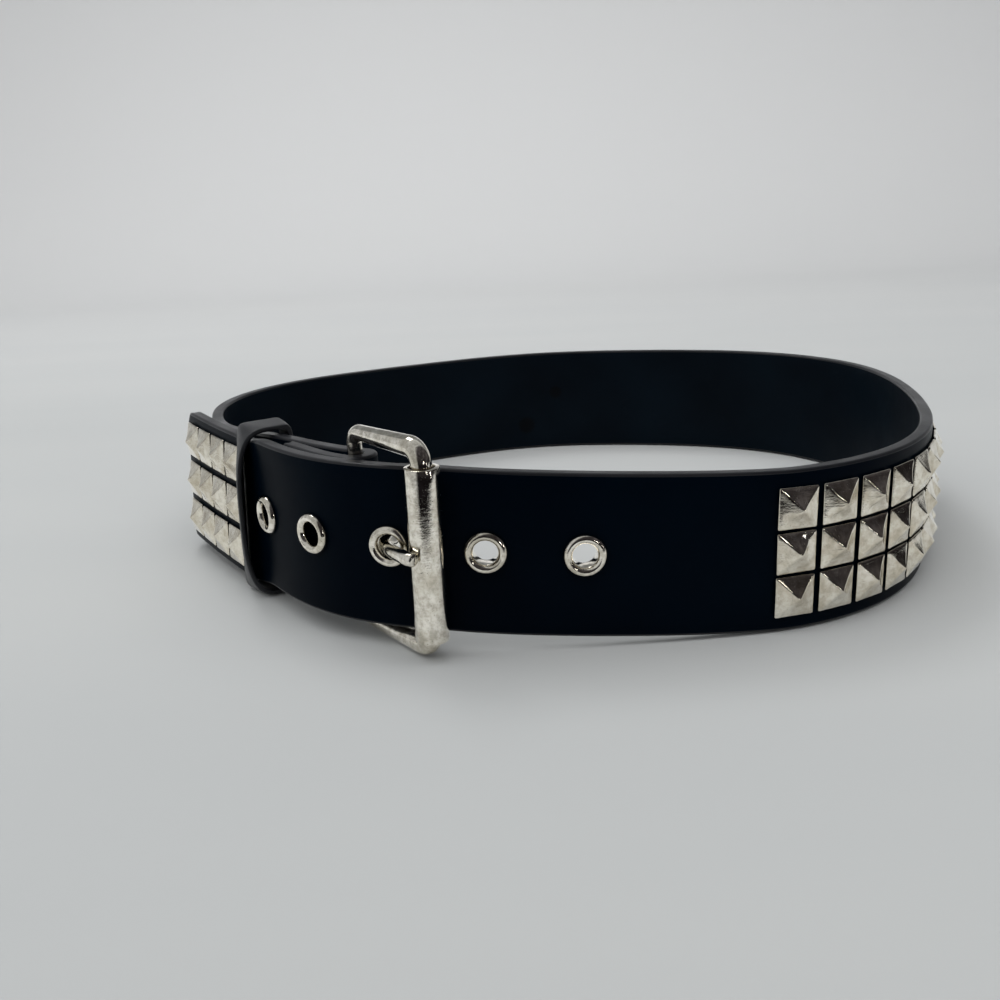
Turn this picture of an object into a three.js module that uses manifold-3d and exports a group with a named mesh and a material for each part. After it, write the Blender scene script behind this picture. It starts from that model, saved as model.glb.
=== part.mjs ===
// Studded leather belt with a roller buckle, fastened and standing on its lower edge as a closed loop.
// Millimetres, +Z up, buckle towards -Y. The origin is the middle of the belt's footprint, on the table.
import * as THREE from 'three';
import { mergeVertices } from 'three/addons/utils/BufferGeometryUtils.js';
import Module from 'manifold-3d';

const wasm = await Module();
wasm.setup();

// Strap
const strapWidth = 44.45;
const strapThickness = 3.9;
const edgeBevel = 0.6;
const layerGap = 0.6;
const loopRadius = 115.7;
const flapLength = 25;
const tipMargin = 1.8;
const lapBlend = 105;
const lapPull = 5.9;
const lapPullStart = 4;
const frontLift = 95;
const lapRise = 0.4;
const tipLift = 3.2;
const tipBend = 5;
const tipLean = 0.07;
const leanRun = 30;
const backDrop = 80;
const stationStep = 6;
const traceStep = 1;

// Shape of the loop seen from above: each row pushes the mean circle out along that many directions,
// by a share of the mean radius, with one peak in the direction given in degrees.
const loopWaves = [
  { lobes: 2, share: 0.059, peak: -4 },
  { lobes: 3, share: 0.045, peak: 48.5 },
  { lobes: 4, share: 0.005, peak: 45 },
  { lobes: 5, share: 0.023, peak: 22.5 },
  { lobes: 6, share: 0.0055, peak: -16 },
];
const heelDirection = 235;

// Buckle
const barRadius = 1.8;
const frontRadius = 2.45;
const barPlay = 0.3;
const armPlay = 0.9;
const heelCorner = 3.2;
const frontCorner = 4.5;
const prongClimb = 0.6;
const rollerRadius = 4.5;
const rollerWall = 1.1;
const rollerSetback = 0.35;
const buckleReach = 27.7;
const frameTopPlay = 3.85;
const rollerLength = 46.2;
const rollerLow = 0.6;
const prongRadius = 1.8;
const prongRingWall = 2.4;
const prongTipTurn = 20;
const prongRestTurn = 13;
const rivetFromBar = 17;
const rivetRadius = 2;
const rivetHead = 1.1;
const rivetHeadRadius = 3.4;
const rivetBackRadius = 4;
const rivetSunk = 0.1;
const prongUnderPlay = 1;

// Holes and eyelets
const holeCount = 5;
const holePitch = 25.4;
const prongHole = 2;
const holeFromBar = 16.2;
const holeRise = 0.7;
const eyeletRadius = 5.75;
const eyeletBore = 3.2;
const eyeletDome = 1.7;
const eyeletBarrel = 0.6;
const eyeletFlange = 4.7;
const eyeletWasher = 0.6;
const eyeletFillet = 0.3;
const eyeletSunk = 0.15;

// Keeper
const keeperWidth = 12.5;
const keeperThickness = 1.4;
const keeperFromEyelet = 9.8;
const keeperSlack = 4.95;
const keeperRest = 0.2;
const keeperSides = 48;
// How far the keeper stands off the layers, and how square its corners are (2 is an ellipse)
const keeperFrontBulge = 4.2;
const keeperFrontSquareness = 3;
const keeperBackBulge = 0.5;
const keeperInnerBulge = 0.8;
const keeperSquareness = 10;

// Studs
const studSide = 11.8;
const studHeight = 3.6;
const studSkirt = 0.7;
const studColumnGap = 1.15;
const studRowGap = 0.4;
const studRows = 3;
const tipRowGap = 1.6;
const tipColumns = 4;
const studsFromHoles = 50;
const linkThickness = 0.5;
const linkWidth = 3;
const linkGrip = 0.9;
const fieldEnd = 150;

// Clearance that touching pieces keep
const seat = 0.3;

const black = { color: 0x14161c, roughness: 0.34, metalness: 0 };
const nickel = { color: 0xb9b7ae, roughness: 0.28, metalness: 0.95 };
const tarnished = { color: 0xb3ada0, roughness: 0.42, metalness: 0.9 };

const buckleLift = 2 * frontRadius + armPlay;
const smooth = (t) => {
  const k = Math.min(Math.max(t, 0), 1);
  return k * k * (3 - 2 * k);
};

// The loop's inside face as a function of direction, and the run along it from the heel bar.
function loopPoint(angle) {
  let reach = 1;
  for (const { lobes, share, peak } of loopWaves) {
    reach += share * Math.cos(lobes * (angle - THREE.MathUtils.degToRad(peak)));
  }
  return new THREE.Vector2(Math.cos(angle), Math.sin(angle)).multiplyScalar(loopRadius * reach);
}

const traceSteps = 1440;
const heelAngle = THREE.MathUtils.degToRad(heelDirection);
const trace = [{ angle: heelAngle, run: 0 }];
for (let i = 1; i <= traceSteps; i += 1) {
  const angle = heelAngle - (2 * Math.PI * i) / traceSteps;
  const step = loopPoint(angle).distanceTo(loopPoint(trace[i - 1].angle));
  trace.push({ angle, run: trace[i - 1].run + step });
}
const loopLength = trace[traceSteps].run;

// Reads one column of an ascending table at a value of another, in between its rows.
function lookUp(rows, from, to, value) {
  let low = 0;
  let high = rows.length - 1;
  while (high - low > 1) {
    const middle = (low + high) >> 1;
    if (rows[middle][from] > value) high = middle;
    else low = middle;
  }
  const share = (value - rows[low][from]) / (rows[high][from] - rows[low][from]);
  return rows[low][to] + share * (rows[high][to] - rows[low][to]);
}

function insideAt(run) {
  const turns = Math.floor(run / loopLength);
  const angle = lookUp(trace, 'run', 'angle', run - turns * loopLength);
  const step = 0.002;
  const point = loopPoint(angle);
  const along = loopPoint(angle - step).sub(loopPoint(angle + step)).normalize();
  return { point, along, out: new THREE.Vector2(-along.y, along.x) };
}

const lastEyelet = prongHole * holePitch - holeFromBar;
const keeperStart = lastEyelet + keeperFromEyelet;
const keeperEnd = keeperStart + keeperWidth;

// How far the return flap stands off the first layer, and how far the lapped layer stands out from the loop's
// inside face. Both are measured by the distance past the heel bar.
const barGap = 2 * (barRadius + barPlay);
const flapOpening = (past) => barGap - (barGap - layerGap) * smooth(past / flapLength);
const lapOffset = (past) => {
  const pulled = smooth((past + lapPullStart) / (keeperEnd - lapPullStart));
  const full = 2 * strapThickness + layerGap + barGap + seat / 2 - lapPull * pulled;
  return full * smooth((past + lapBlend) / lapBlend);
};

const columnPitch = studSide + studColumnGap;
const tipLength = tipColumns * columnPitch + 2 * tipMargin;

// Outer face of the belt in plan, with the run behind each row and the length along the face.
function outerTrace() {
  const rows = [];
  const lapStart = loopLength - lapBlend;
  const count = Math.ceil((loopLength + keeperEnd + columnPitch) / traceStep);
  for (let i = 0; i <= count; i += 1) {
    const run = i * traceStep;
    const { point, out } = insideAt(run);
    const offset = run > lapStart ? lapOffset(run - loopLength) : 0;
    const { x, y } = point.clone().addScaledVector(out, offset + strapThickness);
    const last = rows[i - 1];
    const length = last ? last.length + Math.hypot(x - last.x, y - last.y) : 0;
    rows.push({ x, y, run, length });
  }
  return rows;
}
const outerRows = outerTrace();
const barLength = lookUp(outerRows, 'run', 'length', loopLength);

// Height of the lower edge: up at the buckle and keeper, down on the table elsewhere.
function liftAt(length) {
  const past = length - barLength;
  if (length < flapLength + backDrop) return buckleLift * (1 - smooth((length - flapLength) / backDrop));
  const lapLift = buckleLift + lapRise * smooth((past + buckleReach) / buckleReach);
  if (past > lastEyelet) {
    return THREE.MathUtils.lerp(lapLift, tipLift, smooth((past - lastEyelet) / (keeperEnd - lastEyelet)));
  }
  if (past > -buckleReach) return lapLift;
  return buckleLift * Math.min(Math.max((past + buckleReach + frontLift) / frontLift, 0), 1) ** 1.3;
}

// Lean of the tip: how far its faces go inwards for each millimetre of height.
const leanAt = (length) => tipLean * smooth((length - barLength - lastEyelet) / leanRun);

// Place on the outer face by length, with a slight bend inwards past the keeper.
function outerAt(length) {
  const free = Math.max(length - barLength - keeperEnd, 0);
  const held = length - free;
  const x = lookUp(outerRows, 'length', 'x', held);
  const y = lookUp(outerRows, 'length', 'y', held);
  const reach = traceStep / 2;
  const ahead = new THREE.Vector2(
    lookUp(outerRows, 'length', 'x', held + reach) - lookUp(outerRows, 'length', 'x', held - reach),
    lookUp(outerRows, 'length', 'y', held + reach) - lookUp(outerRows, 'length', 'y', held - reach),
  ).normalize();
  const turn = THREE.MathUtils.degToRad(tipBend) * (free / tipLength);
  const origin = new THREE.Vector2();
  const chord = ahead.clone().rotateAround(origin, -turn / 2);
  const along = ahead.clone().rotateAround(origin, -turn);
  const point = new THREE.Vector2(x, y).addScaledVector(chord, free);
  const out = new THREE.Vector2(-along.y, along.x);
  return { point, along, out, lift: liftAt(length), lean: leanAt(length) };
}
const beltEnd = barLength + keeperEnd + tipLength;

// A sweep joins closed rings of points, one after another, and caps both ends unless it closes on itself.
function sweep(stations, closed = false) {
  const size = stations[0].length;
  const positions = stations.flat(2);
  const index = [];
  const rings = closed ? stations.length : stations.length - 1;
  for (let i = 0; i < rings; i += 1) {
    const here = i * size;
    const next = ((i + 1) % stations.length) * size;
    for (let j = 0; j < size; j += 1) {
      const k = (j + 1) % size;
      index.push(here + j, next + j, next + k, here + j, next + k, here + k);
    }
  }
  if (!closed) {
    const last = (stations.length - 1) * size;
    for (let j = 1; j < size - 1; j += 1) {
      index.push(0, j, j + 1);
      index.push(last, last + j + 1, last + j);
    }
  }
  const geometry = new THREE.BufferGeometry();
  geometry.setAttribute('position', new THREE.Float32BufferAttribute(positions, 3));
  geometry.setIndex(index);
  return geometry;
}

function strapSection({ point, inward, lift, lean = 0 }) {
  const t = strapThickness;
  const w = strapWidth;
  const b = edgeBevel;
  const outline = [[b, 0], [t - b, 0], [t, b], [t, w - b], [t - b, w], [b, w], [0, w - b], [0, b]];
  return outline.map(([deep, high]) => {
    const inwards = deep + high * lean;
    return [point.x + inward.x * inwards, point.y + inward.y * inwards, lift + high];
  });
}

function toSolid(geometry) {
  const bare = geometry.clone();
  bare.deleteAttribute('normal');
  bare.deleteAttribute('uv');
  const merged = mergeVertices(bare, 1e-4);
  const corners = Array.from(merged.index.array);
  const triangles = [];
  for (let i = 0; i < corners.length; i += 3) {
    const [a, b, c] = corners.slice(i, i + 3);
    if (a !== b && b !== c && c !== a) triangles.push(a, b, c);
  }
  return new wasm.Manifold(new wasm.Mesh({
    numProp: 3,
    vertProperties: new Float32Array(merged.attributes.position.array),
    triVerts: new Uint32Array(triangles),
  }));
}

function toGeometry(solid) {
  const { vertProperties, triVerts } = solid.getMesh();
  const geometry = new THREE.BufferGeometry();
  geometry.setAttribute('position', new THREE.BufferAttribute(new Float32Array(vertProperties), 3));
  geometry.setIndex(new THREE.BufferAttribute(new Uint32Array(triVerts), 1));
  return geometry;
}

const union = (solids) => solids.reduce((sum, solid) => sum.add(solid));

// Puts a geometry on the belt's outer face at a height, its +Z outwards and its +X back along the belt.
function placed(geometry, { point, along, out, lift = 0, lean = 0 }, height) {
  const across = new THREE.Vector3(-along.x, -along.y, 0);
  const upward = new THREE.Vector3(-out.x * lean, -out.y * lean, 1).normalize();
  const outward = new THREE.Vector3().crossVectors(across, upward);
  const matrix = new THREE.Matrix4().makeBasis(across, upward, outward);
  const inwards = lean * (height - lift);
  matrix.setPosition(point.x - out.x * inwards, point.y - out.y * inwards, height);
  return geometry.clone().applyMatrix4(matrix);
}

// Bar, roller and the frame's own plane
const barFoot = insideAt(0);
const barCentre = barFoot.point.clone().addScaledVector(barFoot.out, strapThickness + barGap / 2);
const rollerFoot = outerAt(barLength - buckleReach);
const rollerCentre = rollerFoot.point.clone().addScaledVector(rollerFoot.out, rollerSetback + rollerRadius);
const frameAlong = rollerCentre.clone().sub(barCentre).normalize();
const frameReach = rollerCentre.distanceTo(barCentre);
const frameHeight = strapWidth + 2 * buckleLift - armPlay + frameTopPlay;
const middle = buckleLift + strapWidth / 2;

// Hidden fastener of the fold: its place on the inside face and the reach through both layers
const rivetPlace = insideAt(rivetFromBar);
const rivetReach = 2 * strapThickness + flapOpening(rivetFromBar);

function strap() {
  const stations = [];
  const flapSteps = 10;
  for (let i = 0; i <= flapSteps; i += 1) {
    const past = flapLength * (1 - i / flapSteps);
    const { point, out } = insideAt(past);
    const start = point.clone().addScaledVector(out, strapThickness + flapOpening(past));
    stations.push({ point: start, inward: out, lift: buckleLift });
  }
  const foldSteps = 10;
  for (let i = 1; i < foldSteps; i += 1) {
    const turn = (Math.PI * i) / foldSteps;
    const away = barFoot.out.clone().rotateAround(new THREE.Vector2(), turn);
    const point = barCentre.clone().addScaledVector(away, barGap / 2);
    stations.push({ point, inward: away, lift: buckleLift });
  }
  const steps = Math.ceil(beltEnd / stationStep);
  for (let i = 0; i <= steps; i += 1) {
    const place = outerAt((beltEnd * i) / steps);
    stations.push({ ...place, inward: place.out.clone().negate() });
  }
  const whole = toSolid(sweep(stations.map(strapSection)));
  const cuts = [];
  const holeRadius = eyeletBore + eyeletBarrel + seat;
  const washerRadius = eyeletFlange + seat;
  const washerDepth = 2 * (eyeletSunk + eyeletWasher + eyeletFillet + seat);
  for (let i = 0; i < holeCount; i += 1) {
    const place = eyeletPlace(i);
    const hole = new THREE.CylinderGeometry(holeRadius, holeRadius, 3 * strapThickness, 24);
    const sink = new THREE.CylinderGeometry(washerRadius, washerRadius, washerDepth, 24);
    sink.translate(0, -strapThickness, 0);
    for (const cut of [hole, sink]) {
      cut.rotateX(Math.PI / 2);
      cuts.push(toSolid(placed(cut, place, place.centre)));
    }
  }
  const slotRadius = barGap / 2 + strapThickness + layerGap / 2;
  const slot = new THREE.CylinderGeometry(slotRadius, slotRadius, 2 * (prongRadius + barPlay), 24);
  slot.rotateX(Math.PI / 2);
  slot.translate(barCentre.x, barCentre.y, middle);
  cuts.push(toSolid(slot));
  const shaftRadius = rivetRadius + seat;
  const shaft = new THREE.CylinderGeometry(shaftRadius, shaftRadius, rivetReach + 2 * strapThickness, 20);
  const headRadius = rivetHeadRadius + seat;
  const headSink = new THREE.CylinderGeometry(headRadius, headRadius, 2 * (rivetHead + seat), 20);
  shaft.translate(0, rivetReach / 2, 0);
  headSink.translate(0, rivetReach, 0);
  for (const cut of [shaft, headSink]) {
    cut.rotateX(Math.PI / 2);
    cuts.push(toSolid(placed(cut, rivetPlace, middle)));
  }
  return toGeometry(cuts.reduce((sum, cut) => sum.subtract(cut), whole));
}

function eyeletPlace(index) {
  const place = outerAt(barLength - holeFromBar + (prongHole - index) * holePitch);
  return { ...place, centre: place.lift + strapWidth / 2 + holeRise };
}

// A band round the layers. On the outer side its front edge bows away and its back edge lies close.
function keeperLoop() {
  const centre = barLength + (keeperStart + keeperEnd) / 2;
  const { point, along, out } = outerAt(centre);
  const half = keeperWidth / 2;
  let deep = 0;
  let proud = 0;
  for (const shift of [-half, 0, half]) {
    const face = outerAt(centre + shift).point;
    const inner = insideAt(lookUp(outerRows, 'length', 'run', centre + shift)).point;
    deep = Math.max(deep, point.clone().sub(inner).dot(out));
    proud = Math.max(proud, face.clone().sub(point).dot(out));
  }
  const halfStack = (deep + proud) / 2;
  const core = point.clone().addScaledVector(out, proud - halfStack);
  const halfHeight = (strapWidth + keeperSlack) / 2;
  const keeperMiddle = keeperRest + keeperThickness + halfHeight;
  const corner = (turn, wall, shift, bulge, squareness) => {
    const outer = Math.cos(turn) > 0;
    const power = 2 / (outer ? squareness : keeperSquareness);
    const swell = (value) => Math.sign(value) * Math.abs(value) ** power;
    const width = halfStack + (outer ? bulge : keeperInnerBulge) + wall;
    const z = keeperMiddle + (halfHeight + wall) * swell(Math.sin(turn));
    const away = width * swell(Math.cos(turn)) - z * leanAt(centre + shift);
    const plan = core.clone().addScaledVector(out, away).addScaledVector(along, shift);
    return [plan.x, plan.y, z];
  };
  const rings = Array.from({ length: keeperSides }, (_, i) => {
    const turn = (2 * Math.PI * i) / keeperSides;
    return [
      corner(turn, 0, -half, keeperFrontBulge, keeperFrontSquareness),
      corner(turn, keeperThickness, -half, keeperFrontBulge, keeperFrontSquareness),
      corner(turn, keeperThickness, half, keeperBackBulge, keeperSquareness),
      corner(turn, 0, half, keeperBackBulge, keeperSquareness),
    ];
  });
  return sweep(rings, true);
}

// A round wire swept along a rounded rectangle in the upright plane from the heel bar to the roller.
function buckleFrame() {
  const stations = [];
  const cornerSteps = 6;
  const corner = (a, z, r, from) => {
    for (let i = 0; i <= cornerSteps; i += 1) {
      const turn = from + (Math.PI / 2) * (i / cornerSteps);
      stations.push({ a: a + r * Math.cos(turn), z: z + r * Math.sin(turn), turn });
    }
  };
  const low = frontRadius;
  const high = frameHeight - frontRadius;
  corner(frameReach - frontCorner, low + frontCorner, frontCorner, -Math.PI / 2);
  corner(frameReach - frontCorner, high - frontCorner, frontCorner, 0);
  corner(heelCorner, high - heelCorner, heelCorner, Math.PI / 2);
  corner(heelCorner, low + heelCorner, heelCorner, Math.PI);
  const sides = 12;
  const across = new THREE.Vector2(-frameAlong.y, frameAlong.x);
  const rings = stations.map(({ a, z, turn }) => {
    const radius = THREE.MathUtils.lerp(barRadius, frontRadius, smooth(a / frameReach));
    return Array.from({ length: sides }, (_, i) => {
      const around = (2 * Math.PI * i) / sides;
      const outward = a + radius * Math.cos(around) * Math.cos(turn);
      const side = -radius * Math.sin(around);
      const height = z + radius * Math.cos(around) * Math.sin(turn);
      return [
        barCentre.x + frameAlong.x * outward + across.x * side,
        barCentre.y + frameAlong.y * outward + across.y * side,
        height,
      ];
    });
  });
  return sweep(rings, true);
}

function rollerTube() {
  const half = rollerLength / 2;
  const bore = rollerRadius - rollerWall;
  const soft = rollerWall / 4;
  const profile = [
    [bore, -half + soft], [bore + soft, -half], [rollerRadius - soft, -half], [rollerRadius, -half + soft],
    [rollerRadius, half - soft], [rollerRadius - soft, half], [bore + soft, half], [bore, half - soft],
    [bore, -half + soft],
  ].map(([r, h]) => new THREE.Vector2(r, h));
  const tube = new THREE.LatheGeometry(profile, 24);
  tube.rotateX(Math.PI / 2);
  tube.translate(rollerCentre.x, rollerCentre.y, 2 * frontRadius + rollerLow + half);
  return tube;
}

// The prong: a ring on the heel bar, and a shank out through its hole that bends over to the roller.
function prong() {
  const ringBore = barRadius + barPlay;
  const ringRadius = ringBore + prongRingWall;
  const ringProfile = [
    [ringBore, -prongRadius], [ringRadius, -prongRadius], [ringRadius, prongRadius], [ringBore, prongRadius],
    [ringBore, -prongRadius],
  ].map(([r, h]) => new THREE.Vector2(r, h));
  const ring = new THREE.LatheGeometry(ringProfile, 20);
  ring.rotateX(Math.PI / 2);
  ring.translate(barCentre.x, barCentre.y, middle);

  const hole = eyeletPlace(prongHole);
  const throughHole = (outward, forward, height = hole.centre) =>
    new THREE.Vector3(
      hole.point.x + hole.out.x * outward - hole.along.x * forward,
      hole.point.y + hole.out.y * outward - hole.along.y * forward,
      height,
    );
  const rest = rollerRadius + seat + prongRadius;
  const roundRoller = (degrees) => {
    const turn = THREE.MathUtils.degToRad(degrees);
    const { out, along } = rollerFoot;
    return new THREE.Vector3(
      rollerCentre.x + rest * (out.x * Math.cos(turn) + along.x * Math.sin(turn)),
      rollerCentre.y + rest * (out.y * Math.cos(turn) + along.y * Math.sin(turn)),
      hole.centre + prongClimb,
    );
  };
  const start = new THREE.Vector3(barCentre.x, barCentre.y, middle);
  const deep = -strapThickness - prongRadius - prongUnderPlay;
  const under = throughHole(deep, -rollerRadius, (middle + hole.centre) / 2);
  const toward = under.clone().sub(start).normalize();
  const lean = prongRadius / 3;
  const route = new THREE.CatmullRomCurve3([
    start.addScaledVector(toward, ringBore + prongRingWall / 2),
    under,
    throughHole(-strapThickness, -lean),
    throughHole(eyeletDome, lean),
    roundRoller(prongRestTurn + 2 * prongTipTurn),
    roundRoller(prongRestTurn + prongTipTurn),
    roundRoller(prongRestTurn),
  ], false, 'centripetal');
  const circle = new THREE.EllipseCurve(0, 0, prongRadius, prongRadius, 0, 2 * Math.PI);
  const round = new THREE.Shape(circle.getPoints(12).slice(0, 12));
  const shank = new THREE.ExtrudeGeometry(round, { steps: 26, extrudePath: route, bevelEnabled: false });
  return toGeometry(toSolid(ring).add(toSolid(shank)));
}

// A domed ring on the outer face, a barrel through the leather and a washer sunk in the inner face.
function eyelet(index) {
  const bore = eyeletBore;
  const barrel = bore + eyeletBarrel;
  const back = eyeletSunk - strapThickness;
  const washer = back + eyeletWasher;
  const crest = (eyeletRadius + bore) / 2;
  const shoulder = (eyeletRadius - bore) / 4;
  const profile = [
    [bore, back], [eyeletFlange, back], [eyeletFlange, washer], [barrel, washer + eyeletFillet],
    [barrel, seat], [eyeletRadius - eyeletFillet, seat], [eyeletRadius, seat + eyeletFillet],
    [eyeletRadius - shoulder, eyeletDome * 0.8], [crest, eyeletDome], [bore + shoulder, eyeletDome * 0.8],
    [bore, seat], [bore, back],
  ].map(([r, h]) => new THREE.Vector2(r, h));
  const ring = new THREE.LatheGeometry(profile, 24);
  ring.rotateX(Math.PI / 2);
  return placed(ring, eyeletPlace(index), eyeletPlace(index).centre);
}

// Stud: a square skirt with a four-sided point.
function studShape() {
  const s = studSide / 2;
  const base = [[-s, -s], [s, -s], [s, s], [-s, s]];
  const positions = [];
  for (const [x, y] of base) positions.push(x, y, seat);
  for (const [x, y] of base) positions.push(x, y, seat + studSkirt);
  positions.push(0, 0, seat + studHeight);
  const index = [0, 2, 1, 0, 3, 2];
  for (let i = 0; i < 4; i += 1) {
    const j = (i + 1) % 4;
    index.push(i, j, j + 4, i, j + 4, i + 4, i + 4, j + 4, 8);
  }
  const geometry = new THREE.BufferGeometry();
  geometry.setAttribute('position', new THREE.Float32BufferAttribute(positions, 3));
  geometry.setIndex(index);
  return geometry;
}

// Thin links hidden low between the studs hold three to a column, and the middle row from column to column.
function studBand(lengths, rowGap) {
  const rowPitch = studSide + rowGap;
  const stud = studShape();
  const rowLink = new THREE.BoxGeometry(linkWidth, rowGap + 2 * linkGrip, linkThickness);
  const columnLink = new THREE.BoxGeometry(studColumnGap + 2 * linkGrip, linkWidth, linkThickness);
  for (const link of [rowLink, columnLink]) link.translate(0, 0, seat + linkThickness);
  const solids = [];
  lengths.forEach((length, column) => {
    const place = outerAt(length);
    const height = place.lift + strapWidth / 2;
    for (let row = 0; row < studRows; row += 1) {
      const shift = (row - (studRows - 1) / 2) * rowPitch;
      solids.push(toSolid(placed(stud, place, height + shift)));
      if (row > 0) solids.push(toSolid(placed(rowLink, place, height + shift - rowPitch / 2)));
    }
    if (column === 0) return;
    const between = outerAt((length + lengths[column - 1]) / 2);
    solids.push(toSolid(placed(columnLink, between, between.lift + strapWidth / 2)));
  });
  return toGeometry(union(solids));
}

function studField() {
  const lastHole = barLength - holeFromBar + (prongHole - (holeCount - 1)) * holePitch;
  const first = lastHole - studsFromHoles - studSide / 2;
  const last = fieldEnd + studSide / 2;
  const count = Math.floor((first - last) / columnPitch) + 1;
  return studBand(Array.from({ length: count }, (_, i) => first - i * columnPitch), studRowGap);
}

function tipStuds() {
  const first = barLength + keeperEnd + tipMargin + studSide / 2;
  return studBand(Array.from({ length: tipColumns }, (_, i) => first + i * columnPitch), tipRowGap);
}

// One plain fastener through both layers of the fold, its outer head sunk level with the leather.
function foldRivet() {
  const head = rivetReach - rivetHead;
  const face = rivetReach - rivetSunk;
  const profile = [
    [0, -rivetHead], [rivetBackRadius - seat, -rivetHead], [rivetBackRadius, seat - rivetHead],
    [rivetBackRadius, -seat], [rivetRadius, -seat], [rivetRadius, head], [rivetHeadRadius, head],
    [rivetHeadRadius, face], [0, face],
  ].map(([r, h]) => new THREE.Vector2(r, h));
  const rivet = new THREE.LatheGeometry(profile, 20);
  rivet.rotateX(Math.PI / 2);
  return toGeometry(toSolid(placed(rivet, rivetPlace, middle)));
}

const group = new THREE.Group();
function piece(name, geometry, finish) {
  const mesh = new THREE.Mesh(geometry, new THREE.MeshStandardMaterial(finish));
  mesh.name = name;
  group.add(mesh);
}

piece('strap', strap(), black);
piece('keeper_loop', keeperLoop(), black);
piece('buckle_frame', buckleFrame(), nickel);
piece('roller', rollerTube(), nickel);
piece('prong', prong(), nickel);
for (let i = 0; i < holeCount; i += 1) piece(`eyelet_${i + 1}`, eyelet(i), nickel);
piece('stud_field', studField(), tarnished);
piece('tip_studs', tipStuds(), tarnished);
piece('fold_rivet', foldRivet(), nickel);

const box = new THREE.Box3().setFromObject(group);
group.position.set(-(box.min.x + box.max.x) / 2, -(box.min.y + box.max.y) / 2, -box.min.z);
group.updateMatrixWorld(true);

export default group;
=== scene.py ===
"""Studded leather belt, fastened and standing in a loop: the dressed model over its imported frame."""
from __future__ import annotations

import logging
import math
from collections.abc import Callable, Iterable, Sequence
from dataclasses import dataclass, field, replace
from enum import Enum

import bmesh
import bpy
import numpy as np
from mathutils import Matrix, Vector, noise

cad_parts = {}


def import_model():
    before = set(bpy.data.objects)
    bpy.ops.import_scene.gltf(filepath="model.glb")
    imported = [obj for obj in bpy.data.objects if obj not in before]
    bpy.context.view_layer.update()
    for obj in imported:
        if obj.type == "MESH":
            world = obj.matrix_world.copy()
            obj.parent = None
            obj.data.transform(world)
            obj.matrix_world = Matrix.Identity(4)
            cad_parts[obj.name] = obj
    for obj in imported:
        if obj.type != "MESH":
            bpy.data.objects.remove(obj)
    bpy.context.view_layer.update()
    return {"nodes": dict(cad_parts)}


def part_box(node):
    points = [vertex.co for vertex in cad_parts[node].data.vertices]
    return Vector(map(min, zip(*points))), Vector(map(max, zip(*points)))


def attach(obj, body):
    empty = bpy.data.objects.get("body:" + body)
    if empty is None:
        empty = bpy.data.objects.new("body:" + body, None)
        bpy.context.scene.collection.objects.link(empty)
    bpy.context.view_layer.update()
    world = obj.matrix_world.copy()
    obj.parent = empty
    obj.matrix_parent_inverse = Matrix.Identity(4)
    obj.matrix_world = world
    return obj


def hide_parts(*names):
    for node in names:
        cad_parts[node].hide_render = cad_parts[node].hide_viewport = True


LOG = logging.getLogger("belt")
MM = 0.001
BODY = "root"
Point = np.ndarray
Tone = tuple[float, float, float]
Spot = tuple[float, float, float]
Socket = bpy.types.NodeSocket


def smooth(value: float) -> float:
    """Smooth step from 0 to 1.

    Args:
        value: Share of the way, which may lie outside 0 to 1.

    Returns:
        The eased share, held at 0 and 1 outside the step.
    """
    k = min(max(value, 0.0), 1.0)
    return k * k * (3 - 2 * k)


def turned(vector: Point, degrees: float) -> Point:
    """A plan vector turned anticlockwise.

    Args:
        vector: Plan vector.
        degrees: Angle of the turn.

    Returns:
        The turned vector.
    """
    turn = math.radians(degrees)
    c, s = math.cos(turn), math.sin(turn)
    return np.array([c * vector[0] - s * vector[1], s * vector[0] + c * vector[1]])


@dataclass(frozen=True)
class Wave:
    """One wave of the loop's plan: its lobes, their share of the mean radius and one peak's direction."""

    lobes: int
    share: float
    peak: float


@dataclass(frozen=True)
class Place:
    """A place on the belt: plan point, travel and outward directions, lower edge's height and lean."""

    point: Point
    along: Point
    out: Point
    lift: float = 0.0
    lean: float = 0.0


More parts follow.
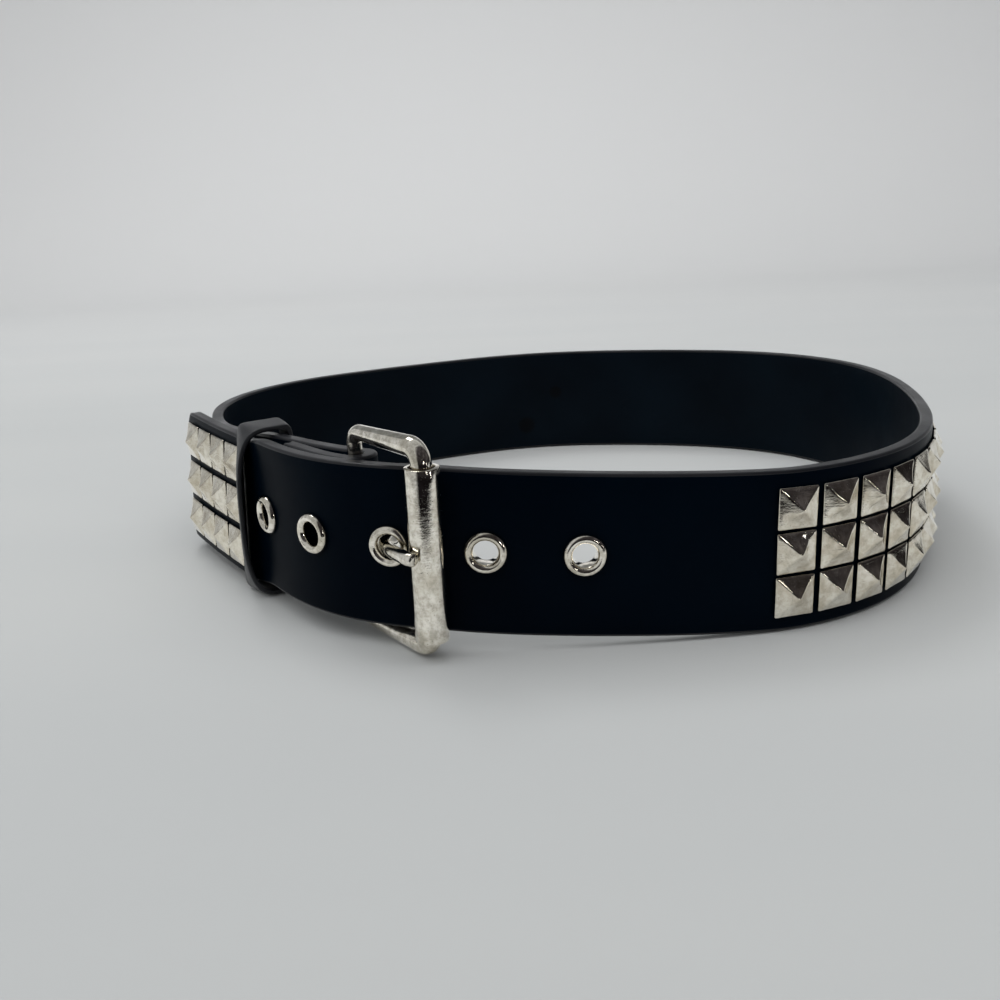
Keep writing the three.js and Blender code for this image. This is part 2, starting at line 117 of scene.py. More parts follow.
@dataclass
class BeltPath:
    """The belt's route in plan, in millimetres, from the heel bar once round the loop and on to the tip."""

    strap_width: float = 44.45
    strap_thickness: float = 3.9
    layer_gap: float = 0.6
    seat: float = 0.3
    loop_radius: float = 115.7
    waves: tuple[Wave, ...] = (
        Wave(2, 0.059, -4),
        Wave(3, 0.045, 48.5),
        Wave(4, 0.005, 45),
        Wave(5, 0.023, 22.5),
        Wave(6, 0.0055, -16),
    )
    heel_direction: float = 235
    flap_length: float = 25
    lap_blend: float = 105
    lap_pull: float = 5.9
    lap_pull_start: float = 4
    front_lift: float = 95
    lap_rise: float = 0.4
    tip_lift: float = 3.2
    tip_bend: float = 5
    tip_lean: float = 0.07
    lean_run: float = 30
    back_drop: float = 80
    tip_margin: float = 1.8
    bar_radius: float = 1.8
    front_radius: float = 2.45
    bar_play: float = 0.3
    arm_play: float = 0.9
    buckle_reach: float = 27.7
    hole_pitch: float = 25.4
    hole_count: int = 5
    prong_hole: int = 2
    hole_from_bar: float = 16.2
    hole_rise: float = 0.7
    keeper_width: float = 12.5
    keeper_from_eyelet: float = 9.8
    stud_side: float = 11.8
    stud_column_gap: float = 1.15
    tip_columns: int = 4
    lift_power: float = 1.3
    plan_steps: int = 1440
    past_tip: float = 20
    shift: Point = field(default_factory=lambda: np.zeros(2))

    def __post_init__(self) -> None:
        """Tabulates the loop's run and the outer face's length."""
        steps = self.plan_steps
        heel = math.radians(self.heel_direction)
        angles = heel - 2 * math.pi * np.arange(steps + 1) / steps
        points = np.array([self.loop_point(a) for a in angles])
        runs = np.concatenate([[0.0], np.cumsum(np.hypot(*np.diff(points, axis=0).T))])
        self._angles, self._runs = angles, runs
        self.loop_length = float(runs[-1])
        self.last_eyelet = self.prong_hole * self.hole_pitch - self.hole_from_bar
        self.keeper_start = self.last_eyelet + self.keeper_from_eyelet
        self.keeper_end = self.keeper_start + self.keeper_width
        self.column_pitch = self.stud_side + self.stud_column_gap
        self.tip_length = self.tip_columns * self.column_pitch + 2 * self.tip_margin
        self.bar_gap = 2 * (self.bar_radius + self.bar_play)
        self.buckle_lift = 2 * self.front_radius + self.arm_play
        lap_start = self.loop_length - self.lap_blend
        rows = []
        self._outer_runs = np.arange(0, self.loop_length + self.keeper_end + self.past_tip)
        for run in self._outer_runs:
            place = self.inside_at(float(run))
            offset = self.lap_offset(run - self.loop_length) if run > lap_start else 0.0
            rows.append(place.point + place.out * (offset + self.strap_thickness))
        self._outer = np.array(rows)
        self._lengths = np.concatenate([[0.0], np.cumsum(np.hypot(*np.diff(self._outer, axis=0).T))])
        self.bar_length = float(np.interp(self.loop_length, self._outer_runs, self._lengths))
        self.belt_end = self.bar_length + self.keeper_end + self.tip_length

    def loop_point(self, angle: float) -> Point:
        """Inside face of the loop in a direction.

        Args:
            angle: Direction in radians.

        Returns:
            The plan point.
        """
        reach = 1 + sum(w.share * math.cos(w.lobes * (angle - math.radians(w.peak))) for w in self.waves)
        return self.loop_radius * reach * np.array([math.cos(angle), math.sin(angle)])

    def inside_at(self, run: float) -> Place:
        """Place on the loop's inside face, by the run along it from the heel bar.

        Args:
            run: Distance along the inside face.

        Returns:
            The place, with no lift.
        """
        angle = float(np.interp(run % self.loop_length, self._runs, self._angles))
        step = 0.002
        ahead = self.loop_point(angle - step) - self.loop_point(angle + step)
        along = ahead / np.hypot(*ahead)
        return Place(self.loop_point(angle), along, np.array([-along[1], along[0]]))

    def run_at(self, length: float) -> float:
        """Run along the inside face that lies behind a length of the outer face."""
        return float(np.interp(length, self._lengths, self._outer_runs))

    def flap_opening(self, past: float) -> float:
        """Gap between the first layer and the return flap, by the distance past the heel bar."""
        return self.bar_gap - (self.bar_gap - self.layer_gap) * smooth(past / self.flap_length)

    def lap_offset(self, past: float) -> float:
        """How far the lapped layer stands out from the first, by the distance past the heel bar.

        Args:
            past: Distance past the heel bar, negative before it.

        Returns:
            The distance outwards.
        """
        pulled = smooth((past + self.lap_pull_start) / (self.keeper_end - self.lap_pull_start))
        full = 2 * self.strap_thickness + self.layer_gap + self.bar_gap + self.seat / 2
        full -= self.lap_pull * pulled
        return full * smooth((past + self.lap_blend) / self.lap_blend)

    def lift_at(self, length: float) -> float:
        """Height of the strap's lower edge over the table, by outer length.

        Args:
            length: Distance along the outer face from the fold.

        Returns:
            The height.
        """
        past = length - self.bar_length
        if length < self.flap_length + self.back_drop:
            return self.buckle_lift * (1 - smooth((length - self.flap_length) / self.back_drop))
        lap = self.buckle_lift + self.lap_rise * smooth((past + self.buckle_reach) / self.buckle_reach)
        if past > self.last_eyelet:
            share = smooth((past - self.last_eyelet) / (self.keeper_end - self.last_eyelet))
            return lap + (self.tip_lift - lap) * share
        if past > -self.buckle_reach:
            return lap
        climbed = min(max((past + self.buckle_reach + self.front_lift) / self.front_lift, 0), 1)
        return self.buckle_lift * climbed ** self.lift_power

    def outer_at(self, length: float) -> Place:
        """Place on the outer face by length, with a slight bend inwards past the keeper.

        Args:
            length: Distance along the outer face from the fold.

        Returns:
            The place and its lift.
        """
        free = max(length - self.bar_length - self.keeper_end, 0.0)
        held = length - free
        step = 0.5
        at = [np.array([np.interp(x, self._lengths, self._outer[:, k]) for k in (0, 1)])
              for x in (held, held + step, held - step)]
        ahead = (at[1] - at[2]) / np.hypot(*(at[1] - at[2]))
        turn = self.tip_bend * free / self.tip_length
        along = turned(ahead, -turn)
        point = at[0] + turned(ahead, -turn / 2) * free
        out = np.array([-along[1], along[0]])
        return Place(point, along, out, self.lift_at(length), self.lean_at(length))

    def lean_at(self, length: float) -> float:
        """How far the tip's faces go inwards for each millimetre of height."""
        return self.tip_lean * smooth((length - self.bar_length - self.last_eyelet) / self.lean_run)

    def eyelet_at(self, index: int) -> tuple[Place, float]:
        """Place of an eyelet's axis.

        Args:
            index: Its number, from the tip's side.

        Returns:
            The place and the height of its centre.
        """
        place = self.outer_at(self.hole_length(index))
        return place, place.lift + self.middle + self.hole_rise

    def hole_length(self, index: int) -> float:
        """Outer length at a hole's centre, by its number from the tip's side."""
        return self.bar_length - self.hole_from_bar + (self.prong_hole - index) * self.hole_pitch

    @property
    def middle(self) -> float:
        """Half of the strap's width."""
        return self.strap_width / 2

    @property
    def bar_offset(self) -> float:
        """Distance from the loop's inside face to the middle of the heel bar."""
        return self.strap_thickness + self.bar_gap / 2

    def world(self, plan: Point, height: float) -> Vector:
        """A plan point and height in millimetres, as a point of the scene in metres."""
        return Vector(((plan[0] + self.shift[0]) * MM, (plan[1] + self.shift[1]) * MM, height * MM))

    def basis(self, place: Place, height: float) -> Matrix:
        """Frame at a place: X back along the belt, Y up, Z outwards, with its origin at that height.

        Args:
            place: Where it stands.
            height: Height of its origin over the table, in millimetres.

        Returns:
            The frame as a matrix in metres.
        """
        x = Vector((-place.along[0], -place.along[1], 0))
        y = Vector((-place.out[0] * place.lean, -place.out[1] * place.lean, 1)).normalized()
        matrix = Matrix((x, y, x.cross(y))).transposed().to_4x4()
        matrix.translation = self.world(place.point - place.out * place.lean * (height - place.lift), height)
        return matrix


@dataclass
class MeshDraft:
    """Points and faces gathered before they become one mesh."""

    points: list[Vector] = field(default_factory=list)
    faces: list[tuple[int, ...]] = field(default_factory=list)
    kinds: list[int] = field(default_factory=list)

    def loft(self, rings: Sequence[Sequence[Vector]], closed: bool = False, caps: bool = True,
             kinds: Sequence[int] | None = None) -> None:
        """Joins closed rings of equal size, one after another.

        Args:
            rings: The rings of points.
            closed: Whether the last ring joins the first.
            caps: Whether open ends are filled.
            kinds: Material number of each segment of a ring.
        """
        base, size, count = len(self.points), len(rings[0]), len(rings)
        for ring in rings:
            self.points.extend(Vector(p) for p in ring)
        for i in range(count if closed else count - 1):
            here, following = base + i * size, base + (i + 1) % count * size
            for j in range(size):
                k = (j + 1) % size
                self.faces.append((here + j, following + j, following + k, here + k))
                self.kinds.append(kinds[j] if kinds else 0)
        if caps and not closed:
            last = base + (count - 1) * size
            self.faces += [tuple(range(base, base + size)), tuple(range(last + size - 1, last - 1, -1))]
            self.kinds += [max(kinds) if kinds else 0] * 2

    def lathe(self, profile: Sequence[tuple[float, float]], basis: Matrix, sides: int) -> None:
        """Turns a closed profile of radius and height, in millimetres, round the Z axis of a frame.

        Args:
            profile: Radius and height of each point.
            basis: The frame.
            sides: Number of steps round.
        """
        rings = []
        for i in range(sides):
            turn = 2 * math.pi * i / sides
            c, s = math.cos(turn), math.sin(turn)
            rings.append([basis @ Vector((r * MM * c, r * MM * s, h * MM)) for r, h in profile])
        self.loft(rings, closed=True)

    def build(self, name: str, finishes: Sequence[bpy.types.Material], sharp: float = 35) -> bpy.types.Object:
        """Makes the object.

        Args:
            name: Name of the piece.
            finishes: Its materials, in the order of the faces' kinds.
            sharp: Edges that turn by more than this many degrees stay sharp.

        Returns:
            The new object, riding on the belt.
        """
        mesh = bpy.data.meshes.new(name)
        mesh.from_pydata([tuple(p) for p in self.points], [], self.faces)
        for finish in finishes:
            mesh.materials.append(finish)
        mesh.polygons.foreach_set("material_index", self.kinds)
        mesh.validate()
        piece = bpy.data.objects.new(name, mesh)
        bpy.context.collection.objects.link(piece)
        outward(piece)
        shade(piece, sharp)
        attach(piece, BODY)
        return piece


def outward(piece: bpy.types.Object) -> None:
    """Turns every face of a closed piece outwards.

    Args:
        piece: The piece.
    """
    work = bmesh.new()
    work.from_mesh(piece.data)
    bmesh.ops.recalc_face_normals(work, faces=work.faces)
    work.to_mesh(piece.data)
    work.free()


def shade(piece: bpy.types.Object, sharp: float) -> None:
    """Smooth shading that breaks at edges over an angle in degrees."""
    piece.data.shade_smooth()
    piece.data.set_sharp_from_angle(angle=math.radians(sharp))


def settle(piece: bpy.types.Object) -> None:
    """Applies every modifier of a piece to its mesh.

    Args:
        piece: The piece.
    """
    bpy.context.view_layer.update()
    evaluated = piece.evaluated_get(bpy.context.evaluated_depsgraph_get())
    mesh = bpy.data.meshes.new_from_object(evaluated)
    piece.modifiers.clear()
    piece.data = mesh


class Nodes:
    """Short helper that adds and links nodes in an emptied tree."""

    def __init__(self, tree: bpy.types.NodeTree) -> None:
        """Empties the tree."""
        self.tree = tree
        self.tree.nodes.clear()

    def add(self, kind: str, **values: object) -> bpy.types.Node:
        """Adds a node and sets its properties and input values by name.

        Args:
            kind: Type of the node.
            **values: Properties, or inputs by name in small letters.

        Returns:
            The node.
        """
        node = self.tree.nodes.new(kind)
        for key, value in values.items():
            if hasattr(node, key):
                setattr(node, key, value)
            else:
                node.inputs[key.replace("_", " ").title()].default_value = value
        return node

    def link(self, output: Socket, target: Socket) -> None:
        """Links two sockets."""
        self.tree.links.new(output, target)

    def ranged(self, source: Socket, low: float, high: float, to_low: float = 0,
               to_high: float = 1) -> Socket:
        """Maps a range of values on to another and holds it there.

        Args:
            source: The value.
            low: Start of its range.
            high: End of its range.
            to_low: Result at the start.
            to_high: Result at the end.

        Returns:
            The result.
        """
        node = self.add("ShaderNodeMapRange")
        for socket, value in zip(node.inputs[1:5], (low, high, to_low, to_high)):
            socket.default_value = value
        self.link(source, node.inputs[0])
        return node.outputs[0]

    def blend(self, factor: Socket, first: object, second: object) -> Socket:
        """Mixes two colours, given as values or sockets, by a factor.

        Args:
            factor: Share of the second.
            first: First colour.
            second: Second colour.

        Returns:
            The mixed colour.
        """
        node = self.add("ShaderNodeMix", data_type="RGBA")
        self.link(factor, node.inputs[0])
        for socket, colour in zip((node.inputs[6], node.inputs[7]), (first, second)):
            if isinstance(colour, tuple):
                socket.default_value = (*colour, 1)
            else:
                self.link(colour, socket)
        return node.outputs[2]

    def combine(self, operation: str, first: Socket, second: object) -> Socket:
        """Maths on two values.

        Args:
            operation: Name of the operation.
            first: First value.
            second: Second value or socket.

        Returns:
            The result.
        """
        node = self.add("ShaderNodeMath", operation=operation)
        self.link(first, node.inputs[0])
        if isinstance(second, (int, float)):
            node.inputs[1].default_value = second
        else:
            self.link(second, node.inputs[1])
        return node.outputs[0]


class Surface(Nodes):
    """A new material's nodes: the shader, its output, object coordinates and textures in them."""

    def __init__(self, name: str) -> None:
        """Makes the material.

        Args:
            name: Its name.
        """
        self.material = bpy.data.materials.new(name)
        self.material.use_nodes = True
        super().__init__(self.material.node_tree)
        self.shader = self.add("ShaderNodeBsdfPrincipled")
        output = self.add("ShaderNodeOutputMaterial")
        self.link(self.shader.outputs["BSDF"], output.inputs["Surface"])
        self.coordinates = self.add("ShaderNodeTexCoord").outputs["Object"]

    def constant(self, name: str, value: object) -> None:
        """Sets one of the shader's own sockets."""
        self.shader.inputs[name].default_value = value

    def noise(self, scale: float, detail: float = 3, roughness: float = 0.5,
              stretch: tuple[float, float, float] = (1, 1, 1)) -> Socket:
        """Noise in object space.

        Args:
            scale: Its scale per metre.
            detail: Number of finer layers.
            roughness: Strength of the finer layers.
            stretch: Scale along each axis.

        Returns:
            Its factor.
        """
        mapping = self.add("ShaderNodeMapping")
        mapping.inputs["Scale"].default_value = stretch
        self.link(self.coordinates, mapping.inputs["Vector"])
        node = self.add("ShaderNodeTexNoise", scale=scale, detail=detail, roughness=roughness)
        self.link(mapping.outputs["Vector"], node.inputs["Vector"])
        return node.outputs["Fac"]

    def cells(self, scale: float) -> Socket:
        """Distance to cell centres in object space.

        Args:
            scale: Number of cells per metre.

        Returns:
            The distance.
        """
        node = self.add("ShaderNodeTexVoronoi", scale=scale)
        self.link(self.coordinates, node.inputs["Vector"])
        return node.outputs["Distance"]

    def bump(self, height: Socket, strength: float, distance: float) -> None:
        """Adds a bump on top of those already there.

        Args:
            height: Height of the relief, 0 to 1.
            strength: Strength of the bump.
            distance: Depth of the relief, in metres.
        """
        node = self.add("ShaderNodeBump")
        node.inputs["Strength"].default_value = strength
        node.inputs["Distance"].default_value = distance
        self.link(height, node.inputs["Height"])
        target = self.shader.inputs["Normal"]
        if target.links:
            self.link(target.links[0].from_socket, node.inputs["Normal"])
        self.link(node.outputs["Normal"], target)


@dataclass(frozen=True)
class Leather:
    """Dyed leather: two near colours, a range of roughness and how strongly the grain shows."""

    name: str
    dark: Tone
    light: Tone
    roughness: tuple[float, float]
    grain: float
    grain_scale: float
    specular: float
    dark_spots: tuple[tuple[Vector, float], ...] = ()

    def make(self) -> bpy.types.Material:
        """Builds the material: clouded dye, fine pores, shallow creases and light scuffs.

        Returns:
            The material.
        """
        nodes = Surface(self.name)
        cloud = nodes.noise(22, 4)
        colour = nodes.blend(nodes.ranged(cloud, 0.35, 0.7), self.dark, self.light)
        scuff = nodes.ranged(nodes.noise(90, 6, 0.7, (1, 1, 6)), 0.66, 0.74)
        worn = tuple(c * 2.2 + 0.004 for c in self.light)
        colour = nodes.blend(nodes.combine("MULTIPLY", scuff, 0.35), colour, worn)
        for centre, radius in self.dark_spots:
            colour = self.darken_spot(nodes, colour, centre, radius)
        nodes.link(colour, nodes.shader.inputs["Base Color"])
        patchy = nodes.ranged(nodes.noise(60, 5), 0.3, 0.7, *self.roughness)
        nodes.link(patchy, nodes.shader.inputs["Roughness"])
        nodes.constant("Specular IOR Level", self.specular)
        nodes.bump(nodes.noise(70, 3, 0.5, (1, 1, 0.5)), 0.25, 0.0002)
        nodes.bump(nodes.cells(self.grain_scale), self.grain, 0.00006)
        nodes.bump(nodes.noise(4200, 2), self.grain * 0.6, 0.00003)
        return nodes.material

    @staticmethod
    def darken_spot(nodes: Surface, colour: Socket, centre: Vector, radius: float) -> Socket:
        """Darkens the colour in a soft round spot.

        Args:
            nodes: The material's nodes.
            colour: Colour so far.
            centre: Middle of the spot.
            radius: Its radius, in metres.

        Returns:
            The new colour.
        """
        distance = nodes.add("ShaderNodeVectorMath", operation="DISTANCE")
        nodes.link(nodes.coordinates, distance.inputs[0])
        distance.inputs[1].default_value = centre
        spot = nodes.ranged(distance.outputs["Value"], radius, radius * 0.7)
        return nodes.blend(nodes.combine("MULTIPLY", spot, 0.75), colour, (0.0008, 0.0009, 0.0012))


@dataclass(frozen=True)
class Plated:
    """Plated metal: bright and dull colours, a range of roughness, tarnish, waviness and fine grit."""

    name: str
    bright: Tone
    dull: Tone
    roughness: tuple[float, float]
    specks: float
    waviness: float
    grit: float

    def make(self) -> bpy.types.Material:
        """Builds the material: clouded plating, tarnish in blooms and specks, hairlines and a wavy surface.

        Returns:
            The material.
        """
        nodes = Surface(self.name)
        cloud = nodes.noise(130, 5, 0.6)
        colour = nodes.blend(nodes.ranged(cloud, 0.38, 0.66), self.bright, self.dull)
        bloom = nodes.ranged(nodes.noise(520, 6, 0.75), 0.43, 0.62)
        bloom = nodes.combine("MULTIPLY", bloom, self.specks * 0.7)
        colour = nodes.blend(bloom, colour, tuple(c * 0.62 for c in self.dull))
        speck = nodes.ranged(nodes.noise(1400, 4, 0.7), 0.62, 0.7)
        tarnish = nodes.combine("MULTIPLY", speck, self.specks)
        colour = nodes.blend(tarnish, colour, tuple(c * 0.3 for c in self.dull))
        nodes.link(colour, nodes.shader.inputs["Base Color"])
        nodes.constant("Metallic", 1)
        hair = nodes.ranged(nodes.noise(260, 8, 0.8, (1, 1, 9)), 0.56, 0.7, 0, 0.07)
        rough = nodes.ranged(nodes.noise(300, 4), 0.35, 0.7, *self.roughness)
        rough = nodes.combine("ADD", rough, hair)
        rough = nodes.combine("ADD", rough, nodes.combine("MULTIPLY", tarnish, 0.35))
        nodes.link(rough, nodes.shader.inputs["Roughness"])
        nodes.bump(nodes.noise(190, 2), self.waviness, 0.0003)
        nodes.bump(nodes.noise(1900, 3, 0.6), self.grit, 0.00006)
        nodes.bump(nodes.noise(420, 4, 0.7, (1, 1, 5)), self.grit * 0.7, 0.00015)
        return nodes.material


class Finish(Enum):
    """The belt's finishes."""

    GRAIN = Leather(
        "black_grain", dark=(0.0002, 0.0014, 0.0036), light=(0.0004, 0.0026, 0.0058), roughness=(0.3, 0.4),
        grain=0.08, grain_scale=1500, specular=0.015,
    )
    LINING = Leather(
        "black_lining", dark=(0.0006, 0.0022, 0.0045), light=(0.0014, 0.0046, 0.0085), roughness=(0.45, 0.58),
        grain=0.18, grain_scale=1900, specular=0.05,
    )
    BAND = Leather(
        "black_band", dark=(0.005, 0.0055, 0.007), light=(0.010, 0.0105, 0.013), roughness=(0.42, 0.55),
        grain=0.3, grain_scale=1700, specular=0.34,
    )
    EDGE = Leather(
        "painted_edge", dark=(0.003, 0.0035, 0.005), light=(0.010, 0.0105, 0.013), roughness=(0.3, 0.45),
        grain=0.3, grain_scale=2600, specular=0.24,
    )
    NICKEL = Plated(
        "polished_nickel", bright=(0.85, 0.81, 0.73), dull=(0.60, 0.555, 0.46), roughness=(0.02, 0.1),
        specks=0.9, waviness=0.1, grit=0.25,
    )
    STUD = Plated(
        "scratched_stud_plate", bright=(0.76, 0.72, 0.63), dull=(0.54, 0.485, 0.385), roughness=(0.05, 0.15),
        specks=0.6, waviness=0.2, grit=0.3,
    )

    @property
    def material(self) -> bpy.types.Material:
        """The finish's material, made once."""
        made = bpy.data.materials.get(self.value.name)
        return made if made else self.value.make()


@dataclass
class Strap:
    """The one leather strap: return flap, fold round the heel bar, loop, lap and free tip."""

    path: BeltPath
    corner: float = 0.8
    corner_steps: int = 4
    face_steps: int = 12
    station: float = 2.0
    groove: float = 0.14
    groove_place: float = 0.45
    sway: float = 0.12
    sway_scale: tuple[float, float] = (0.035, 0.03)
    tip_corner: float = 3.0
    flap_steps: int = 14
    fold_steps: int = 24
    hole_radius: float = 4.1
    hole_sides: int = 48
    slot_height: float = 4.2
    crease: float = 50
    dark_spots: tuple[tuple[float, float, float], ...] = ((97.5, 11.0, 0.0044), (90.0, 26.0, 0.0032))

    def section(self) -> tuple[list[tuple[float, float]], list[int]]:
        """Outline of the strap.

        Returns:
            Points of depth from the outer face and height, and the finish of each segment:
            0 grain side, 1 lining side, 2 edge.
        """
        t, w, r = self.path.strap_thickness, self.path.strap_width, self.corner
        points: list[tuple[float, float]] = []
        kinds: list[int] = []

        def arc(cx: float, cy: float, start: float) -> None:
            """Adds a quarter round corner.

            Args:
                cx: Depth of its centre.
                cy: Height of its centre.
                start: Where it starts, in degrees.
            """
            for i in range(self.corner_steps + 1):
                turn = math.radians(start + 90 * i / self.corner_steps)
                points.append((cx + r * math.cos(turn), cy + r * math.sin(turn)))
                kinds.append(2)

        def face(x: float, start: float, end: float, kind: int) -> None:
            """Adds one flat face.

            Args:
                x: Its depth.
                start: Height that it starts from.
                end: Height that it goes to.
                kind: Number of its finish.
            """
            kinds[-1] = kind
            for i in range(1, self.face_steps):
                points.append((x, start + (end - start) * i / self.face_steps))
                kinds.append(kind)

        arc(t - r, r, -90)
        face(t, r, w - r, 1)
        arc(t - r, w - r, 0)
        points.append((t * self.groove_place, w - self.groove))
        kinds.append(2)
        arc(r, w - r, 90)
        face(0, w - r, r, 0)
        arc(r, r, 180)
        points.append((t * self.groove_place, self.groove))
        kinds.append(2)
        return points, kinds

    def stations(self) -> list[tuple[Place, float]]:
        """Stations of the sweep, from the flap's end round the fold and along the belt to the tip.

        Returns:
            Each station, its outward direction facing away from the leather, and its distance from the tip.
        """
        path = self.path
        rows = []
        for i in range(self.flap_steps + 1):
            past = path.flap_length * (1 - i / self.flap_steps)
            place = path.inside_at(past)
            start = place.point + place.out * (path.strap_thickness + path.flap_opening(past))
            rows.append((Place(start, place.along, -place.out, path.buckle_lift), math.inf))
        foot = path.inside_at(0)
        centre = foot.point + foot.out * path.bar_offset
        for i in range(1, self.fold_steps):
            turn = math.pi * i / self.fold_steps
            away = foot.out * math.cos(turn) - foot.along * math.sin(turn)
            start = centre + away * path.bar_gap / 2
            rows.append((Place(start, foot.along, -away, path.buckle_lift), math.inf))
        count = math.ceil(path.belt_end / self.station)
        for i in range(count + 1):
            length = path.belt_end * i / count
            rows.append((path.outer_at(length), path.belt_end - length))
        return rows

    def build(self) -> bpy.types.Object:
        """Sweeps the strap, cuts its holes and the prong's slot, and dresses it.

        Returns:
            The strap.
        """
        path = self.path
        outline, kinds = self.section()
        rings = []
        middle = path.middle
        wide, tall = self.sway_scale
        for place, left in self.stations():
            plan = place.point
            inset = 0.0
            if left < self.tip_corner:
                gone = self.tip_corner - left
                inset = self.tip_corner - math.sqrt(max(self.tip_corner ** 2 - gone ** 2, 0))
            squeeze = (middle - inset) / middle
            ring = []
            for deep, high in outline:
                drift = self.sway * noise.noise(Vector((plan[0] * wide, plan[1] * wide, high * tall)))
                level = middle + (high - middle) * squeeze
                inwards = deep + drift + level * place.lean
                ring.append(path.world(plan - place.out * inwards, place.lift + level))
            rings.append(ring)
        draft = MeshDraft()
        draft.loft(rings, kinds=kinds)
        finishes = [Finish.GRAIN.material, self.lining(), Finish.EDGE.material]
        piece = draft.build("strap_leather", finishes, self.crease)
        self.cut(piece)
        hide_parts("strap")
        return piece

    def lining(self) -> bpy.types.Material:
        """Smooth dark blue-black back of the leather, darker in two round spots at the back of the loop.

        Returns:
            The material.
        """
        spots = []
        for direction, height, size in self.dark_spots:
            plan = self.path.loop_point(math.radians(direction))
            spots.append((self.path.world(plan, height), size))
        return replace(Finish.LINING.value, dark_spots=tuple(spots)).make()

    def cut(self, piece: bpy.types.Object) -> None:
        """Cuts the eyelet holes and the slot for the prong.

        Args:
            piece: The strap.
        """
        path = self.path
        cutters = []
        for index in range(path.hole_count):
            place, height = path.eyelet_at(index)
            cutters.append((path.basis(place, height), self.hole_radius, path.strap_thickness * 3))
        foot = path.inside_at(0)
        centre = foot.point + foot.out * path.bar_offset
        upright = Matrix.Translation(path.world(centre, path.buckle_lift + path.middle))
        cutters.append((upright, path.bar_offset + path.layer_gap / 2, self.slot_height))
        for number, (basis, radius, height) in enumerate(cutters):
            draft = MeshDraft()
            turns = [2 * math.pi * i / self.hole_sides for i in range(self.hole_sides)]
            circle = [(radius * MM * math.cos(a), radius * MM * math.sin(a)) for a in turns]
            rings = [[basis @ Vector((x, y, z * MM)) for x, y in circle] for z in (-height / 2, height / 2)]
            draft.loft(rings)
            cutter = draft.build(f"cutter_{number}", [])
            modifier = piece.modifiers.new("cut", "BOOLEAN")
            modifier.object = cutter
            modifier.operation = "DIFFERENCE"
            modifier.solver = "EXACT"
            settle(piece)
            bpy.data.objects.remove(cutter)
        shade(piece, self.crease)


@dataclass(frozen=True)
class Edge:
    """One edge of the keeper: how far it stands off the layers outside and how square its corners are."""

    bulge: float
    squareness: float


@dataclass
class Keeper:
    """The leather loop that holds the lapped end. Its front edge bows away from the strap."""

    path: BeltPath
    thickness: float = 1.4
    slack: float = 4.95
    rest: float = 0.2
    inner_bulge: float = 0.8
    inner_squareness: float = 10
    front: Edge = Edge(4.2, 3)
    back: Edge = Edge(0.5, 10)
    steps: int = 160
    corner_steps: int = 4
    rounding: float = 0.45
    crown: float = 0.1
    crown_places: tuple[float, ...] = (0.7, 0.45, 0.15, -0.15, -0.45, -0.7)
    inner_places: tuple[float, ...] = (-0.7, -0.35, 0, 0.35, 0.7)
    crease: float = 60

    def __post_init__(self) -> None:
        """Finds the middle and the depth of the layers that the band goes round."""
        path = self.path
        self.centre = path.bar_length + (path.keeper_start + path.keeper_end) / 2
        self.place = path.outer_at(self.centre)
        deep = proud = 0.0
        self.half = path.keeper_width / 2
        for move in (-self.half, 0, self.half):
            face = path.outer_at(self.centre + move).point
            inner = path.inside_at(path.run_at(self.centre + move)).point
            deep = max(deep, float(np.dot(self.place.point - inner, self.place.out)))
            proud = max(proud, float(np.dot(face - self.place.point, self.place.out)))
        self.stack = (deep + proud) / 2
        self.core = self.place.point + self.place.out * (proud - self.stack)

    def build(self) -> bpy.types.Object:
        """Sweeps a rounded band round the layers.

        Returns:
            The keeper.
        """
        outline = self.section()
        rings = []
        for i in range(self.steps):
            turn = 2 * math.pi * i / self.steps
            rings.append([self.at(turn, across, depth) for across, depth in outline])
        draft = MeshDraft()
        draft.loft(rings, closed=True)
        piece = draft.build("keeper_band", [Finish.BAND.material], self.crease)
        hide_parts("keeper_loop")
        return piece

    def edge_point(self, edge: Edge, turn: float, depth: float) -> tuple[float, float]:
        """Distance outwards and height of a point on one edge of the band, before it leans.

        Args:
            edge: The edge.
            turn: Turn round the layers, in radians.
            depth: Depth in the wall, from its inner face.

        Returns:
            Distance outwards and height.
        """
        path = self.path
        outer = math.cos(turn) > 0
        power = 2 / (edge.squareness if outer else self.inner_squareness)
        swell = [math.copysign(abs(v) ** power, v) for v in (math.cos(turn), math.sin(turn))]
        width = self.stack + (edge.bulge if outer else self.inner_bulge) + depth
        half_height = (path.strap_width + self.slack) / 2
        middle = self.rest + self.thickness + half_height
        return width * swell[0], middle + (half_height + depth) * swell[1]

    def at(self, turn: float, across: float, depth: float) -> Vector:
        """A point of the band, from its turn round the layers, its place across and its depth in the wall.

        Args:
            turn: Turn round the layers, in radians.
            across: Place across the band, along the belt.
            depth: Depth in the wall, from its inner face.

        Returns:
            The point, in metres.
        """
        share = smooth((across + self.half) / (2 * self.half))
        near, far = (self.edge_point(edge, turn, depth) for edge in (self.front, self.back))
        away, height = (a + (b - a) * share for a, b in zip(near, far))
        away -= height * self.path.lean_at(self.centre + across)
        return self.path.world(self.core + self.place.out * away + self.place.along * across, height)

    def section(self) -> list[tuple[float, float]]:
        """Rounded section of the band: place across and depth in its wall.

        Returns:
            The points of its outline.
        """
        r, t, half = self.rounding, self.thickness, self.half
        points = []
        corners = ((half - r, r, -90), (half - r, t - r, 0), (r - half, t - r, 90), (r - half, r, 180))
        for cx, cy, start in corners:
            for i in range(self.corner_steps + 1):
                turn = math.radians(start + 90 * i / self.corner_steps)
                points.append((cx + r * math.cos(turn), cy + r * math.sin(turn)))
            if start == 0:
                points += [(half * k, t + self.crown * (1 - k * k)) for k in self.crown_places]
            if start == 180:
                points += [(half * k, 0) for k in self.inner_places]
        return points


